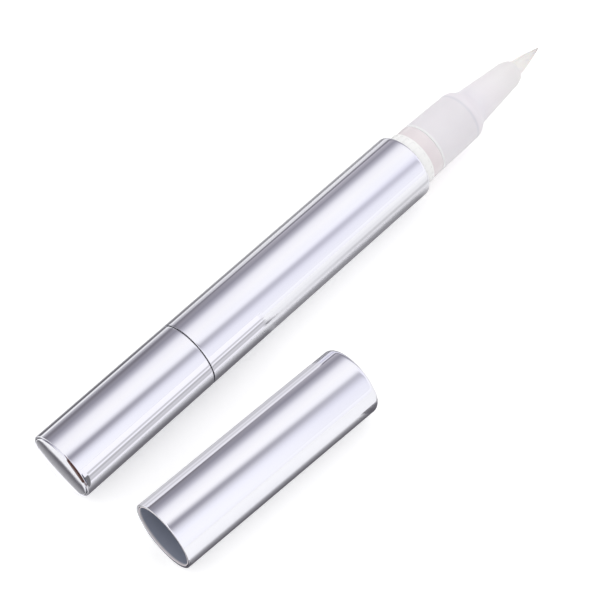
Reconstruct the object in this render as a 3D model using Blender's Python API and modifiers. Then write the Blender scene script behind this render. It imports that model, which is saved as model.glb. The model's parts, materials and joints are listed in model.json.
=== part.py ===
"""Twist-up whitening pen, uncapped, with its cap lying beside it.

The pen lies along +X: the knob's flat rear face is at the origin and the brush points to +X.
Lengths are in metres, +Z is up. A station is a place along the pen, measured from the rear face.
Turning the knob turns the lead screw, which climbs through the fixed nut and pushes the piston.
"""

import math

import bmesh
import bpy

MM = 0.001
FULL_TURN = math.tau
QUARTER_TURN = math.pi / 2

# Outside sizes
PEN_DIAMETER = 12.0 * MM
KNOB_LENGTH = 27.4 * MM
SEAM_GAP = 0.2 * MM
BARREL_LENGTH = 51.4 * MM
CAP_LENGTH = 39.8 * MM

# Place of the cap on the table, seen from above
CAP_MOUTH_STATION = 2.6 * MM
CAP_SIDE_OFFSET = 19.7 * MM
CAP_YAW = math.radians(-3.2)

# Walls and clearances
SLEEVE_WALL = 0.35 * MM
PRESS_GAP = 0.1 * MM
RUNNING_GAP = 0.15 * MM
END_GAP = 0.25 * MM
CUT_OVERRUN = 0.5 * MM
WELD_DISTANCE = 0.001 * MM

# Rolled front edge of the barrel, the reservoir and its neck
ROLLED_EDGE_RADIUS = 0.6 * MM
ROLLED_LIP_WIDTH = 0.85 * MM
LIP_CLEARANCE = 0.15 * MM
RESERVOIR_WALL = 1.1 * MM
SHOULDER_THICKNESS = 1.2 * MM
RIB_BAND_LENGTH = 2.05 * MM
RIB_BAND_STEP = 0.15 * MM
RIB_GROOVE_DEPTH = 0.12 * MM
SMOOTH_BAND_LENGTH = 2.3 * MM
SPIGOT_STEP = 1.05 * MM
SPIGOT_WALL = 1.0 * MM
SPIGOT_END_GAP = 0.55 * MM
SEAL_WIRE = 0.6 * MM
SEAL_PLACE_SHARE = 0.5

# Brush end
COLLAR_LENGTH = 10.3 * MM
COLLAR_TAPER = 0.2 * MM
COLLAR_FRONT_WALL = 1.1 * MM
CHAMFER_LENGTH = 1.8 * MM
CONE_REAR_DIAMETER = 7.0 * MM
CONE_LENGTH = 10.75 * MM
CONE_FRONT_WALL = 0.5 * MM
TIP_CHAMFER_LENGTH = 1.05 * MM
TIP_RING_WALL = 0.275 * MM
BRISTLE_CLEARANCE = 0.13 * MM
INSERT_STEP = 0.2 * MM
INSERT_LENGTH = 8.6 * MM
FEED_TUBE_DIAMETER = 1.8 * MM
FEED_TUBE_BORE = 1.0 * MM
FEED_TUBE_LENGTH = 13.0 * MM
FEED_TUBE_DEPTH = 6.0 * MM

# Bristle bundle: a square lattice drawn out to a disc, one strand on each cell
BRISTLE_DIAMETER = 3.24 * MM
BRISTLE_LENGTH = 7.4 * MM
BRISTLE_BACKING = 0.5 * MM
BRISTLE_ROOT_DEPTH = 0.4 * MM
STRANDS_ACROSS = 18
STRAND_WAIST_SHARE = 0.6
STRAND_SLIM_SHARE = 0.7
SHORTEST_STRAND_SHARE = 0.84

# Knob
PLUG_WALL = 0.9 * MM
PLUG_LENGTH = 3.2 * MM
PLUG_FLAT_RADIUS = 2.6 * MM
PLUG_CROWN = 0.12 * MM
PLUG_EDGE_RADIUS = 0.5 * MM
PLUG_PROUD = 0.25 * MM
CORE_WALL = 0.9 * MM
CORE_WEB_LENGTH = 3.2 * MM
DRAG_RING_WIRE = 0.8 * MM
DRAG_RING_SETBACK = 0.45 * MM
GROOVE_LAND = 0.35 * MM
GROOVE_DEPTH = 0.45 * MM
RETAINING_RING_WIDTH = 0.7 * MM
RETAINING_GROOVE_DEPTH = 0.3 * MM
JOURNAL_END_LAND = 0.8 * MM
RETAINING_RING_SPLIT = 1.6 * MM

# Click mechanism
NOSE_SHARE = 0.72
NOSE_FLAT_SHARE = 0.81
SPRING_WIRE = 0.44 * MM
SPRING_SPACE = 2.4 * MM
SPRING_TURNS = 2
WHEEL_THICKNESS = 1.0 * MM
TOOTH_HEIGHT = 0.4 * MM
TOOTH_COUNT = 10
CROWN_THICKNESS = 1.0 * MM
CLICK_CLEARANCE = 0.08 * MM

# Feed screw, nut and piston
SCREW_PITCH = 2.0 * MM
SCREW_CREST_SHARE = 0.72
SCREW_ROOT_SHARE = 0.76
SCREW_FLAT_SHARE = 0.7
SCREW_NECK_SHARE = 0.52
SCREW_HEAD_SHARE = 0.78
THREAD_BASE_SHARE = 0.55
THREAD_TOP_SHARE = 0.25
THREAD_GAP = 0.12 * MM
SCREW_TAIL_SETBACK = 1.1 * MM
NUT_LENGTH = 3.2 * MM
SCREW_REACH = 1.8 * MM
SCREW_NECK_LENGTH = 1.0 * MM
SCREW_HEAD_LENGTH = 1.2 * MM
PISTON_LENGTH = 5.0 * MM
PISTON_LIP_WIDTH = 0.5 * MM
PISTON_LIP_HEIGHT = 0.45 * MM
PISTON_NOSE_SHARE = 0.6
PISTON_NOSE_LENGTH = 1.0 * MM

# Cap
CAP_CORNER_RADIUS = 0.95 * MM
RIM_CHAMFER = 0.1 * MM
LINER_WALL = 0.45 * MM
LINER_LIP = 0.2 * MM
LINER_RECESS = 0.15 * MM
LINER_LEAD_LENGTH = 3.0 * MM
LINER_DEPTH_GAP = 0.25 * MM

# Facets round a piece
OUTER_SEGMENTS = 36
INNER_SEGMENTS = 28
SMALL_SEGMENTS = 20
THREAD_SEGMENTS = 16
SPRING_SEGMENTS = 12
RING_WIRE_SIDES = 6
TOOTH_STEPS = 4
CORNER_STEPS = 4
SHARP_ANGLE = math.radians(35)

# Stations and radii that several pieces share
pen_radius = PEN_DIAMETER / 2
sleeve_bore_radius = pen_radius - SLEEVE_WALL
liner_radius = sleeve_bore_radius - PRESS_GAP
bore_radius = liner_radius - RESERVOIR_WALL
insert_seat_radius = bore_radius - PRESS_GAP
journal_radius = bore_radius - RUNNING_GAP
nose_radius = bore_radius * NOSE_SHARE
nose_half_flat = nose_radius * NOSE_FLAT_SHARE
crest_radius = nose_radius * SCREW_CREST_SHARE
root_radius = crest_radius * SCREW_ROOT_SHARE
screw_half_flat = crest_radius * SCREW_FLAT_SHARE
screw_neck_radius = crest_radius * SCREW_NECK_SHARE
screw_head_radius = crest_radius * SCREW_HEAD_SHARE
lip_radius = pen_radius - ROLLED_LIP_WIDTH
band_radius = lip_radius - LIP_CLEARANCE
neck_radius = band_radius - RIB_BAND_STEP
spigot_radius = neck_radius - SPIGOT_STEP
collar_bore_radius = spigot_radius + RUNNING_GAP
bristle_radius = BRISTLE_DIAMETER / 2
tip_hole_radius = bristle_radius + BRISTLE_CLEARANCE
insert_bore_radius = tip_hole_radius + INSERT_STEP

knob_front = KNOB_LENGTH
barrel_rear = knob_front + SEAM_GAP
barrel_front = barrel_rear + BARREL_LENGTH
journal_rear = knob_front - END_GAP
drag_rear = knob_front + DRAG_RING_SETBACK
drag_front = drag_rear + DRAG_RING_WIRE + 2 * PRESS_GAP
retaining_ring_rear = drag_front + GROOVE_LAND + RUNNING_GAP
retaining_ring_front = retaining_ring_rear + RETAINING_RING_WIDTH
journal_front = retaining_ring_front + RUNNING_GAP + JOURNAL_END_LAND
spring_front = journal_front + SPRING_SPACE
wheel_rear = spring_front
wheel_front = wheel_rear + WHEEL_THICKNESS
nose_front = wheel_front + TOOTH_HEIGHT - CLICK_CLEARANCE
crown_rear = wheel_front + TOOTH_HEIGHT + CLICK_CLEARANCE
crown_front = crown_rear + TOOTH_HEIGHT + CROWN_THICKNESS
nut_rear = crown_front + END_GAP
nut_front = nut_rear + NUT_LENGTH
screw_front = nut_front + SCREW_REACH
piston_rear = screw_front + END_GAP
piston_front = piston_rear + PISTON_LENGTH
plug_front = PLUG_LENGTH
core_rear = plug_front + END_GAP
screw_tail = PLUG_WALL + SCREW_TAIL_SETBACK

lip_rear = barrel_front - SLEEVE_WALL
shoulder_front = lip_rear - END_GAP
chamber_front = shoulder_front - SHOULDER_THICKNESS
rib_band_front = barrel_front + RIB_BAND_LENGTH
smooth_band_front = rib_band_front + SMOOTH_BAND_LENGTH
collar_rear = smooth_band_front + END_GAP
collar_front = collar_rear + COLLAR_LENGTH
collar_inner_front = collar_front - COLLAR_FRONT_WALL
spigot_front = collar_inner_front - SPIGOT_END_GAP
seal_rear = smooth_band_front + (spigot_front - smooth_band_front) * SEAL_PLACE_SHARE
cone_rear = collar_front + CHAMFER_LENGTH
cone_front = cone_rear + CONE_LENGTH
tip_ring_front = cone_front + TIP_CHAMFER_LENGTH
bristle_root = tip_ring_front - BRISTLE_ROOT_DEPTH
backing_rear = bristle_root - BRISTLE_BACKING
insert_front = backing_rear - PRESS_GAP
insert_rear = insert_front - INSERT_LENGTH
bristle_tip = tip_ring_front + BRISTLE_LENGTH


def fresh_collection(name):
    collection = bpy.data.collections.new(name)
    bpy.context.scene.collection.children.link(collection)
    return collection


def finish(name, colour, metallic=0.0, roughness=0.4, transmission=0.0):
    """A Principled material of one colour."""
    material = bpy.data.materials.new(name)
    material.use_nodes = True
    shader = material.node_tree.nodes["Principled BSDF"]
    shader.inputs["Base Color"].default_value = (*colour, 1.0)
    shader.inputs["Metallic"].default_value = metallic
    shader.inputs["Roughness"].default_value = roughness
    shader.inputs["Transmission Weight"].default_value = transmission
    return material


def polished_metal(name):
    return finish(name, (0.80, 0.80, 0.85), metallic=1.0, roughness=0.08)


def spring_steel(name):
    return finish(name, (0.62, 0.62, 0.64), metallic=1.0, roughness=0.3)


def clear_plastic(name):
    return finish(name, (0.90, 0.88, 0.89), roughness=0.12, transmission=0.6)


def frosted_plastic(name):
    return finish(name, (0.82, 0.80, 0.86), roughness=0.5, transmission=0.3)


def white_plastic(name):
    return finish(name, (0.86, 0.86, 0.87), roughness=0.4)


def soft_rubber(name):
    return finish(name, (0.25, 0.25, 0.27), roughness=0.7)


def bristle_fibre(name):
    return finish(name, (0.93, 0.87, 0.85), roughness=0.6)


def empty(name, location, yaw=0.0):
    anchor = bpy.data.objects.new(name, None)
    anchor.location = location
    anchor.rotation_euler = (0, 0, yaw)
    PEN.objects.link(anchor)
    return anchor


def evaluated_mesh(item):
    graph = bpy.context.evaluated_depsgraph_get()
    return bpy.data.meshes.new_from_object(item.evaluated_get(graph))


def dressed(item, material):
    """Smooth rounds with crisp corners, in the piece's own material."""
    mesh = item.data
    mesh.shade_smooth()
    mesh.set_sharp_from_angle(angle=SHARP_ANGLE)
    mesh.materials.clear()
    mesh.materials.append(material(item.name))
    return item


def turned_object(name, outline, segments, closed, collection):
    """Turns (station, radius) points, listed front to rear down the outer side, about the pen's axis."""
    points = [(radius, 0, station) for station, radius in outline]
    edges = [(i, i + 1) for i in range(len(points) - 1)]
    if closed:
        edges.append((len(points) - 1, 0))
    profile = bpy.data.meshes.new(name)
    profile.from_pydata(points, edges, [])
    item = bpy.data.objects.new(name, profile)
    collection.objects.link(item)
    screw = item.modifiers.new("turn", "SCREW")
    screw.axis = "Z"
    screw.angle = FULL_TURN
    screw.steps = segments
    screw.render_steps = segments
    screw.use_merge_vertices = True
    screw.merge_threshold = WELD_DISTANCE
    item.data = evaluated_mesh(item)
    item.modifiers.clear()
    bpy.data.meshes.remove(profile)
    item.rotation_euler = (0, QUARTER_TURN, 0)
    return item


def turned(name, outline, material, segments=INNER_SEGMENTS, closed=True, parent=None):
    item = turned_object(name, outline, segments, closed, PEN)
    item.parent = parent
    return dressed(item, material)


def corner(station, radius, size, start, end):
    """Points of a rounded corner; angle zero points to the front, and a quarter turn outwards."""
    points = []
    for step in range(CORNER_STEPS + 1):
        angle = start + (end - start) * step / CORNER_STEPS
        points.append((station + size * math.cos(angle), radius + size * math.sin(angle)))
    return points


def cutter(item):
    """Marks an object as a cutting tool that isn't part of the pen."""
    item.hide_render = True
    item.display_type = "WIRE"
    return item


def mesh_object(name, bm, collection):
    mesh = bpy.data.meshes.new(name)
    bm.to_mesh(mesh)
    bm.free()
    item = bpy.data.objects.new(name, mesh)
    collection.objects.link(item)
    return item


def block(name, low, high):
    """A box cutter between two corners."""
    size = [b - a for a, b in zip(low, high)]
    bm = bmesh.new()
    bmesh.ops.create_cube(bm, size=1)
    bmesh.ops.scale(bm, vec=size, verts=bm.verts)
    bmesh.ops.translate(bm, vec=[(a + b) / 2 for a, b in zip(low, high)], verts=bm.verts)
    return cutter(mesh_object(name, bm, CUTTERS))


def key_prism(name, radius, half_flat, rear, front):
    """A round bar with two flats, above and below, as a cutter."""
    lean = math.asin(half_flat / radius)
    bm = bmesh.new()
    ring = []
    for side in (0, math.pi):
        for step in range(SMALL_SEGMENTS // 2 + 1):
            angle = side - lean + 2 * lean * step / (SMALL_SEGMENTS // 2)
            ring.append(bm.verts.new((rear, radius * math.cos(angle), radius * math.sin(angle))))
    face = bm.faces.new(ring)
    grown = bmesh.ops.extrude_face_region(bm, geom=[face])["geom"]
    lid = [part for part in grown if isinstance(part, bmesh.types.BMVert)]
    bmesh.ops.translate(bm, vec=(front - rear, 0, 0), verts=lid)
    bmesh.ops.recalc_face_normals(bm, faces=bm.faces)
    return cutter(mesh_object(name, bm, CUTTERS))


def combine(item, tool, operation):
    step = item.modifiers.new(tool.name, "BOOLEAN")
    step.operation = operation
    step.solver = "EXACT"
    step.object = tool
    return item


def threaded_bar(name, root, crest, gap, rear, front, collection):
    """A bar with a right-handed thread between two stations, in step with the nut.

    The gap widens the thread on every side, so that the same bar can cut the nut.
    """
    first = math.floor((rear - nut_rear) / SCREW_PITCH) - 1
    turns = math.ceil((front - nut_rear) / SCREW_PITCH) + 1 - first
    start = nut_rear + first * SCREW_PITCH
    base = SCREW_PITCH * THREAD_BASE_SHARE / 2 + gap
    top = SCREW_PITCH * THREAD_TOP_SHARE / 2 + gap
    middle = SCREW_PITCH / 2
    tooth = [
        (0, root),
        (middle - base, root),
        (middle - top, crest),
        (middle + top, crest),
        (middle + base, root),
    ]
    period = len(tooth)
    bm = bmesh.new()
    rows = []
    for step in range(THREAD_SEGMENTS * turns + 1):
        angle = FULL_TURN * step / THREAD_SEGMENTS
        shift = start + SCREW_PITCH * step / THREAD_SEGMENTS
        rows.append([
            bm.verts.new((shift + place, -radius * math.sin(angle), radius * math.cos(angle)))
            for place, radius in tooth
        ])
    for step in range(THREAD_SEGMENTS * turns):
        here, after = rows[step], rows[step + 1]
        for i in range(period - 1):
            bm.faces.new((here[i], here[i + 1], after[i + 1], after[i]))
        if step + 1 + THREAD_SEGMENTS <= THREAD_SEGMENTS * turns:
            far, far_after = rows[step + THREAD_SEGMENTS], rows[step + 1 + THREAD_SEGMENTS]
            bm.faces.new((here[-1], far[0], far_after[0], after[-1]))
    close_thread_ends(bm)
    bmesh.ops.recalc_face_normals(bm, faces=bm.faces)
    return mesh_object(name, bm, collection)


def close_thread_ends(bm):
    """Fans each open end of a threaded bar to a point on the axis."""
    rim = [edge for edge in bm.edges if edge.is_boundary]
    stations = [vert.co.x for edge in rim for vert in edge.verts]
    middle = (min(stations) + max(stations)) / 2
    for front in (False, True):
        edges = [edge for edge in rim if (edge.verts[0].co.x > middle) == front]
        places = [vert.co.x for edge in edges for vert in edge.verts]
        hub = bm.verts.new((sum(places) / len(places), 0, 0))
        for edge in edges:
            bm.faces.new((edge.verts[0], edge.verts[1], hub))


def saw(angle):
    """Height of the ratchet's teeth, as a share, at an angle round the pen: a slow rise and a steep fall."""
    step = round(angle / FULL_TURN * TOOTH_COUNT * TOOTH_STEPS) % TOOTH_STEPS
    return step / (TOOTH_STEPS - 1)


def toothed(item, station):
    """Raises the points of the end face at a station to ratchet teeth, leaning towards the front."""
    for vert in item.data.vertices:
        if abs(vert.co.z - station) < WELD_DISTANCE:
            angle = math.atan2(vert.co.y, vert.co.x)
            vert.co.z += TOOTH_HEIGHT * saw(angle)
    return item


def make_knob_sleeve():
    rear = PLUG_PROUD
    inner = sleeve_bore_radius
    turned("knob_sleeve", [
        (knob_front, pen_radius - RIM_CHAMFER),
        (knob_front - RIM_CHAMFER, pen_radius),
        (rear + RIM_CHAMFER, pen_radius),
        (rear, pen_radius - RIM_CHAMFER),
        (rear, inner),
        (knob_front, inner),
    ], polished_metal, OUTER_SEGMENTS, parent=KNOB)


def make_end_plug():
    """A cup with a slightly crowned face; only the face's middle is flat."""
    edge_radius = liner_radius - PLUG_EDGE_RADIUS
    edge = corner(PLUG_CROWN + PLUG_EDGE_RADIUS, edge_radius, PLUG_EDGE_RADIUS, QUARTER_TURN, math.pi)
    crown = []
    for step in range(1, CORNER_STEPS + 1):
        share = 1 - step / CORNER_STEPS
        reach = edge_radius - PLUG_FLAT_RADIUS
        crown.append((PLUG_CROWN * share ** 2, PLUG_FLAT_RADIUS + reach * share))
    turned("end_plug", [
        (PLUG_WALL, 0),
        (PLUG_WALL, liner_radius - PLUG_WALL),
        (plug_front, liner_radius - PLUG_WALL),
        (plug_front, liner_radius),
        *edge,
        *crown,
        (0, 0),
    ], polished_metal, OUTER_SEGMENTS, closed=False, parent=KNOB)


def make_knob_core():
    """The drive tube: hollow at the rear, keyed to the screw at the front, with a nose for the wheel."""
    pilot = screw_half_flat - CUT_OVERRUN
    web_rear = journal_rear - CORE_WEB_LENGTH
    drag_root = bore_radius - DRAG_RING_WIRE - 2 * PRESS_GAP
    ring_rear = retaining_ring_rear - RUNNING_GAP
    ring_front = retaining_ring_front + RUNNING_GAP
    ring_root = journal_radius - GROOVE_DEPTH
    core = turned("knob_core", [
        (nose_front, nose_radius),
        (journal_front, nose_radius),
        (journal_front, journal_radius),
        (ring_front, journal_radius),
        (ring_front, ring_root),
        (ring_rear, ring_root),
        (ring_rear, journal_radius),
        (drag_front, journal_radius),
        (drag_front, drag_root),
        (drag_rear, drag_root),
        (drag_rear, journal_radius),
        (journal_rear, journal_radius),
        (journal_rear, liner_radius),
        (core_rear, liner_radius),
        (core_rear, liner_radius - CORE_WALL),
        (web_rear, liner_radius - CORE_WALL),
        (web_rear, pilot),
        (nose_front, pilot),
    ], white_plastic, parent=KNOB)
    key = key_prism(
        "key_cutter",
        crest_radius + THREAD_GAP,
        screw_half_flat + THREAD_GAP,
        web_rear - CUT_OVERRUN,
        nose_front + CUT_OVERRUN,
    )
    combine(core, key, "DIFFERENCE")
    for side, label in ((1, "upper"), (-1, "lower")):
        near = side * nose_half_flat
        far = side * (nose_radius + CUT_OVERRUN)
        flat = block(
            label + "_flat_cutter",
            (journal_front, -nose_radius - CUT_OVERRUN, min(near, far)),
            (nose_front + CUT_OVERRUN, nose_radius + CUT_OVERRUN, max(near, far)),
        )
        combine(core, flat, "DIFFERENCE")


def round_wire(station, major, wire):
    """Section of a rubber ring, its points in the order that turned() wants."""
    outline = []
    for step in range(RING_WIRE_SIDES):
        angle = FULL_TURN * step / RING_WIRE_SIDES
        outline.append((station + wire * math.cos(angle), major + wire * math.sin(angle)))
    return outline


def make_drag_ring():
    wire = DRAG_RING_WIRE / 2
    middle = drag_rear + PRESS_GAP + wire
    major = bore_radius - PRESS_GAP - wire
    turned("drag_ring", round_wire(middle, major, wire), soft_rubber, parent=KNOB)


def make_retaining_ring():
    """A split ring held in the reservoir's groove; it reaches into the groove of the turning journal."""
    inner = journal_radius - GROOVE_DEPTH + RUNNING_GAP
    outer = bore_radius + RETAINING_GROOVE_DEPTH - PRESS_GAP
    ring = turned("retaining_ring", [
        (retaining_ring_front, outer),
        (retaining_ring_rear, outer),
        (retaining_ring_rear, inner),
        (retaining_ring_front, inner),
    ], spring_steel)
    split = block(
        "split_cutter",
        (retaining_ring_rear - CUT_OVERRUN, -RETAINING_RING_SPLIT / 2, inner - CUT_OVERRUN),
        (retaining_ring_front + CUT_OVERRUN, RETAINING_RING_SPLIT / 2, outer + CUT_OVERRUN),
    )
    combine(ring, split, "DIFFERENCE")


def make_click_spring():
    """A coil round the nose, between the journal's shoulder and the click wheel."""
    wire = SPRING_WIRE / 2
    major = nose_radius + RUNNING_GAP + wire
    rear = journal_front + RUNNING_GAP + wire
    front = spring_front - RUNNING_GAP - wire
    steps = SPRING_SEGMENTS * SPRING_TURNS
    curve = bpy.data.curves.new("click_spring", "CURVE")
    curve.dimensions = "3D"
    curve.bevel_depth = wire
    curve.bevel_resolution = 1
    curve.use_fill_caps = True
    spline = curve.splines.new("POLY")
    spline.points.add(steps)
    for step in range(steps + 1):
        angle = FULL_TURN * step / SPRING_SEGMENTS
        station = rear + (front - rear) * step / steps
        spline.points[step].co = (station, major * math.cos(angle), major * math.sin(angle), 1)
    spring = bpy.data.objects.new("click_spring", curve)
    PEN.objects.link(spring)
    spring.parent = KNOB
    curve.materials.append(spring_steel("click_spring"))


def make_click_wheel():
    wheel = turned("click_wheel", [
        (wheel_front, journal_radius),
        (wheel_rear, journal_radius),
        (wheel_rear, nose_half_flat - CUT_OVERRUN),
        (wheel_front, nose_half_flat - CUT_OVERRUN),
    ], white_plastic, TOOTH_COUNT * TOOTH_STEPS, parent=KNOB)
    toothed(wheel, wheel_front)
    key = key_prism(
        "wheel_key_cutter",
        nose_radius + RUNNING_GAP,
        nose_half_flat + RUNNING_GAP,
        wheel_rear - CUT_OVERRUN,
        wheel_front + TOOTH_HEIGHT + CUT_OVERRUN,
    )
    combine(wheel, key, "DIFFERENCE")


def make_ratchet_crown():
    crown = turned("ratchet_crown", [
        (crown_front, insert_seat_radius),
        (crown_rear, insert_seat_radius),
        (crown_rear, nose_half_flat),
        (crown_front, nose_half_flat),
    ], white_plastic, TOOTH_COUNT * TOOTH_STEPS)
    toothed(crown, crown_rear)


def make_lead_nut():
    nut = turned("lead_nut", [
        (nut_front, 0),
        (nut_front, insert_seat_radius),
        (nut_rear, insert_seat_radius),
        (nut_rear, 0),
    ], white_plastic, closed=False)
    tap = threaded_bar(
        "tap_cutter",
        root_radius + THREAD_GAP,
        crest_radius + THREAD_GAP,
        THREAD_GAP,
        nut_rear - CUT_OVERRUN,
        nut_front + CUT_OVERRUN,
        CUTTERS,
    )
    combine(nut, cutter(tap), "DIFFERENCE")


def make_lead_screw():
    """A threaded bar with two flats and a mushroom head that the piston holds."""
    screw = threaded_bar("lead_screw", root_radius, crest_radius, 0, screw_tail, screw_front, PEN)
    envelope = block(
        "screw_flats_cutter",
        (screw_tail, -crest_radius - CUT_OVERRUN, -screw_half_flat),
        (screw_front, crest_radius + CUT_OVERRUN, screw_half_flat),
    )
    combine(screw, envelope, "INTERSECT")
    neck_front = screw_front + SCREW_NECK_LENGTH
    head_front = neck_front + SCREW_HEAD_LENGTH
    mushroom = turned_object("screw_head_cutter", [
        (head_front, 0),
        (head_front, screw_head_radius - RIM_CHAMFER * 2),
        (neck_front, screw_head_radius),
        (neck_front, screw_neck_radius),
        (screw_front - CUT_OVERRUN, screw_neck_radius),
        (screw_front - CUT_OVERRUN, 0),
    ], SMALL_SEGMENTS, False, CUTTERS)
    combine(screw, cutter(mushroom), "UNION")
    screw.data = evaluated_mesh(screw)
    screw.modifiers.clear()
    screw.parent = KNOB
    dressed(screw, white_plastic)


def make_piston():
    """Two sealing lips round a waist; the rear socket holds the screw's head."""
    waist = insert_seat_radius - PISTON_LIP_HEIGHT
    socket_mouth = screw_neck_radius + RUNNING_GAP
    socket_radius = screw_head_radius + RUNNING_GAP
    socket_rear = screw_front + SCREW_NECK_LENGTH - RUNNING_GAP
    socket_front = screw_front + SCREW_NECK_LENGTH + SCREW_HEAD_LENGTH + RUNNING_GAP
    lip_root = piston_front - PISTON_NOSE_LENGTH
    turned("piston", [
        (piston_front, 0),
        (piston_front, insert_seat_radius * PISTON_NOSE_SHARE),
        (lip_root, insert_seat_radius),
        (lip_root - PISTON_LIP_WIDTH, insert_seat_radius),
        (lip_root - 2 * PISTON_LIP_WIDTH, waist),
        (piston_rear + 2 * PISTON_LIP_WIDTH, waist),
        (piston_rear + PISTON_LIP_WIDTH, insert_seat_radius),
        (piston_rear, insert_seat_radius),
        (piston_rear, socket_mouth),
        (socket_rear, socket_mouth),
        (socket_rear, socket_radius),
        (socket_front, socket_radius),
        (socket_front, 0),
    ], white_plastic, closed=False)


def make_barrel_sleeve():
    """A tube whose front edge is rolled inwards over the reservoir's shoulder."""
    outer_roll = corner(
        barrel_front - ROLLED_EDGE_RADIUS, pen_radius - ROLLED_EDGE_RADIUS, ROLLED_EDGE_RADIUS,
        0, QUARTER_TURN,
    )
    turned("barrel_sleeve", [
        (barrel_front, lip_radius),
        *outer_roll,
        (barrel_rear + RIM_CHAMFER, pen_radius),
        (barrel_rear, pen_radius - RIM_CHAMFER),
        (barrel_rear, sleeve_bore_radius),
        (lip_rear - ROLLED_EDGE_RADIUS + SLEEVE_WALL, sleeve_bore_radius),
        (lip_rear, pen_radius - ROLLED_EDGE_RADIUS),
        (lip_rear, lip_radius),
    ], polished_metal, OUTER_SEGMENTS)


def fluted(item, radius, depth):
    """Draws in every other point of the rings at a radius, which leaves ribs along the pen."""
    for vert in item.data.vertices:
        if abs(math.hypot(vert.co.x, vert.co.y) - radius) < WELD_DISTANCE:
            row = round(math.atan2(vert.co.y, vert.co.x) / FULL_TURN * OUTER_SEGMENTS)
            if row % 2:
                vert.co.x *= (radius - depth) / radius
                vert.co.y *= (radius - depth) / radius
    return item


def make_reservoir():
    """The gel tube: the retaining ring's groove at the rear, a ribbed band and a spigot at the front."""
    seal_front = seal_rear + SEAL_WIRE + 2 * PRESS_GAP
    seal_root = collar_bore_radius - SEAL_WIRE - 2 * PRESS_GAP
    groove_rear = retaining_ring_rear - PRESS_GAP
    groove_front = retaining_ring_front + PRESS_GAP
    groove = bore_radius + RETAINING_GROOVE_DEPTH
    rear = barrel_rear + END_GAP
    outer = liner_radius
    inner_roll = pen_radius - ROLLED_EDGE_RADIUS
    tube = turned("reservoir", [
        (spigot_front, spigot_radius - RIM_CHAMFER * 2),
        (spigot_front - RIM_CHAMFER * 2, spigot_radius),
        (seal_front, spigot_radius),
        (seal_front, seal_root),
        (seal_rear, seal_root),
        (seal_rear, spigot_radius),
        (smooth_band_front, spigot_radius),
        (smooth_band_front, neck_radius - RIM_CHAMFER),
        (smooth_band_front - RIM_CHAMFER, neck_radius),
        (rib_band_front, neck_radius),
        (rib_band_front, band_radius),
        (shoulder_front, band_radius),
        (shoulder_front, inner_roll - PRESS_GAP),
        (shoulder_front - ROLLED_EDGE_RADIUS, outer),
        (rear, outer),
        (rear, bore_radius),
        (groove_rear, bore_radius),
        (groove_rear, groove),
        (groove_front, groove),
        (groove_front, bore_radius),
        (chamber_front, bore_radius),
        (chamber_front, spigot_radius - SPIGOT_WALL),
        (spigot_front, spigot_radius - SPIGOT_WALL),
    ], clear_plastic, OUTER_SEGMENTS)
    fluted(tube, band_radius, RIB_GROOVE_DEPTH)


def make_holder_seal():
    wire = SEAL_WIRE / 2
    middle = seal_rear + PRESS_GAP + wire
    major = collar_bore_radius - PRESS_GAP - wire
    turned("holder_seal", round_wire(middle, major, wire), soft_rubber, SMALL_SEGMENTS)


def make_brush_holder():
    """A collar pushed over the spigot, and the cone that carries the brush."""
    turned("brush_holder", [
        (tip_ring_front, tip_hole_radius + TIP_RING_WALL),
        (cone_front, insert_bore_radius + CONE_FRONT_WALL),
        (cone_rear, CONE_REAR_DIAMETER / 2),
        (collar_front, neck_radius - COLLAR_TAPER),
        (collar_rear + RIM_CHAMFER, neck_radius),
        (collar_rear, neck_radius - RIM_CHAMFER),
        (collar_rear, collar_bore_radius),
        (collar_inner_front, collar_bore_radius),
        (collar_inner_front, insert_bore_radius),
        (cone_front, insert_bore_radius),
        (cone_front, tip_hole_radius),
        (tip_ring_front, tip_hole_radius),
    ], frosted_plastic, OUTER_SEGMENTS)


def make_bristle_plug():
    """Holds the bristles' root; the feed tube enters its rear."""
    radius = insert_bore_radius - PRESS_GAP
    step_radius = tip_hole_radius - PRESS_GAP
    step = cone_front - PRESS_GAP
    tube_seat = insert_rear + FEED_TUBE_DEPTH + PRESS_GAP
    turned("bristle_plug", [
        (insert_front, step_radius),
        (step, step_radius),
        (step, radius),
        (insert_rear, radius),
        (insert_rear, FEED_TUBE_DIAMETER / 2 + PRESS_GAP),
        (tube_seat, FEED_TUBE_DIAMETER / 2 + PRESS_GAP),
        (tube_seat, FEED_TUBE_BORE / 2),
        (insert_front, FEED_TUBE_BORE / 2),
    ], white_plastic, SMALL_SEGMENTS)


def make_feed_tube():
    front = insert_rear + FEED_TUBE_DEPTH
    rear = front - FEED_TUBE_LENGTH
    turned("feed_tube", [
        (front, FEED_TUBE_DIAMETER / 2),
        (rear, FEED_TUBE_DIAMETER / 2),
        (rear, FEED_TUBE_BORE / 2),
        (front, FEED_TUBE_BORE / 2),
    ], white_plastic, SMALL_SEGMENTS)


def disc_point(across, up, radius):
    """Moves a point of the square from -1 to 1 to the disc of that radius."""
    return (
        radius * across * math.sqrt(1 - up * up / 2),
        radius * up * math.sqrt(1 - across * across / 2),
    )


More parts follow.
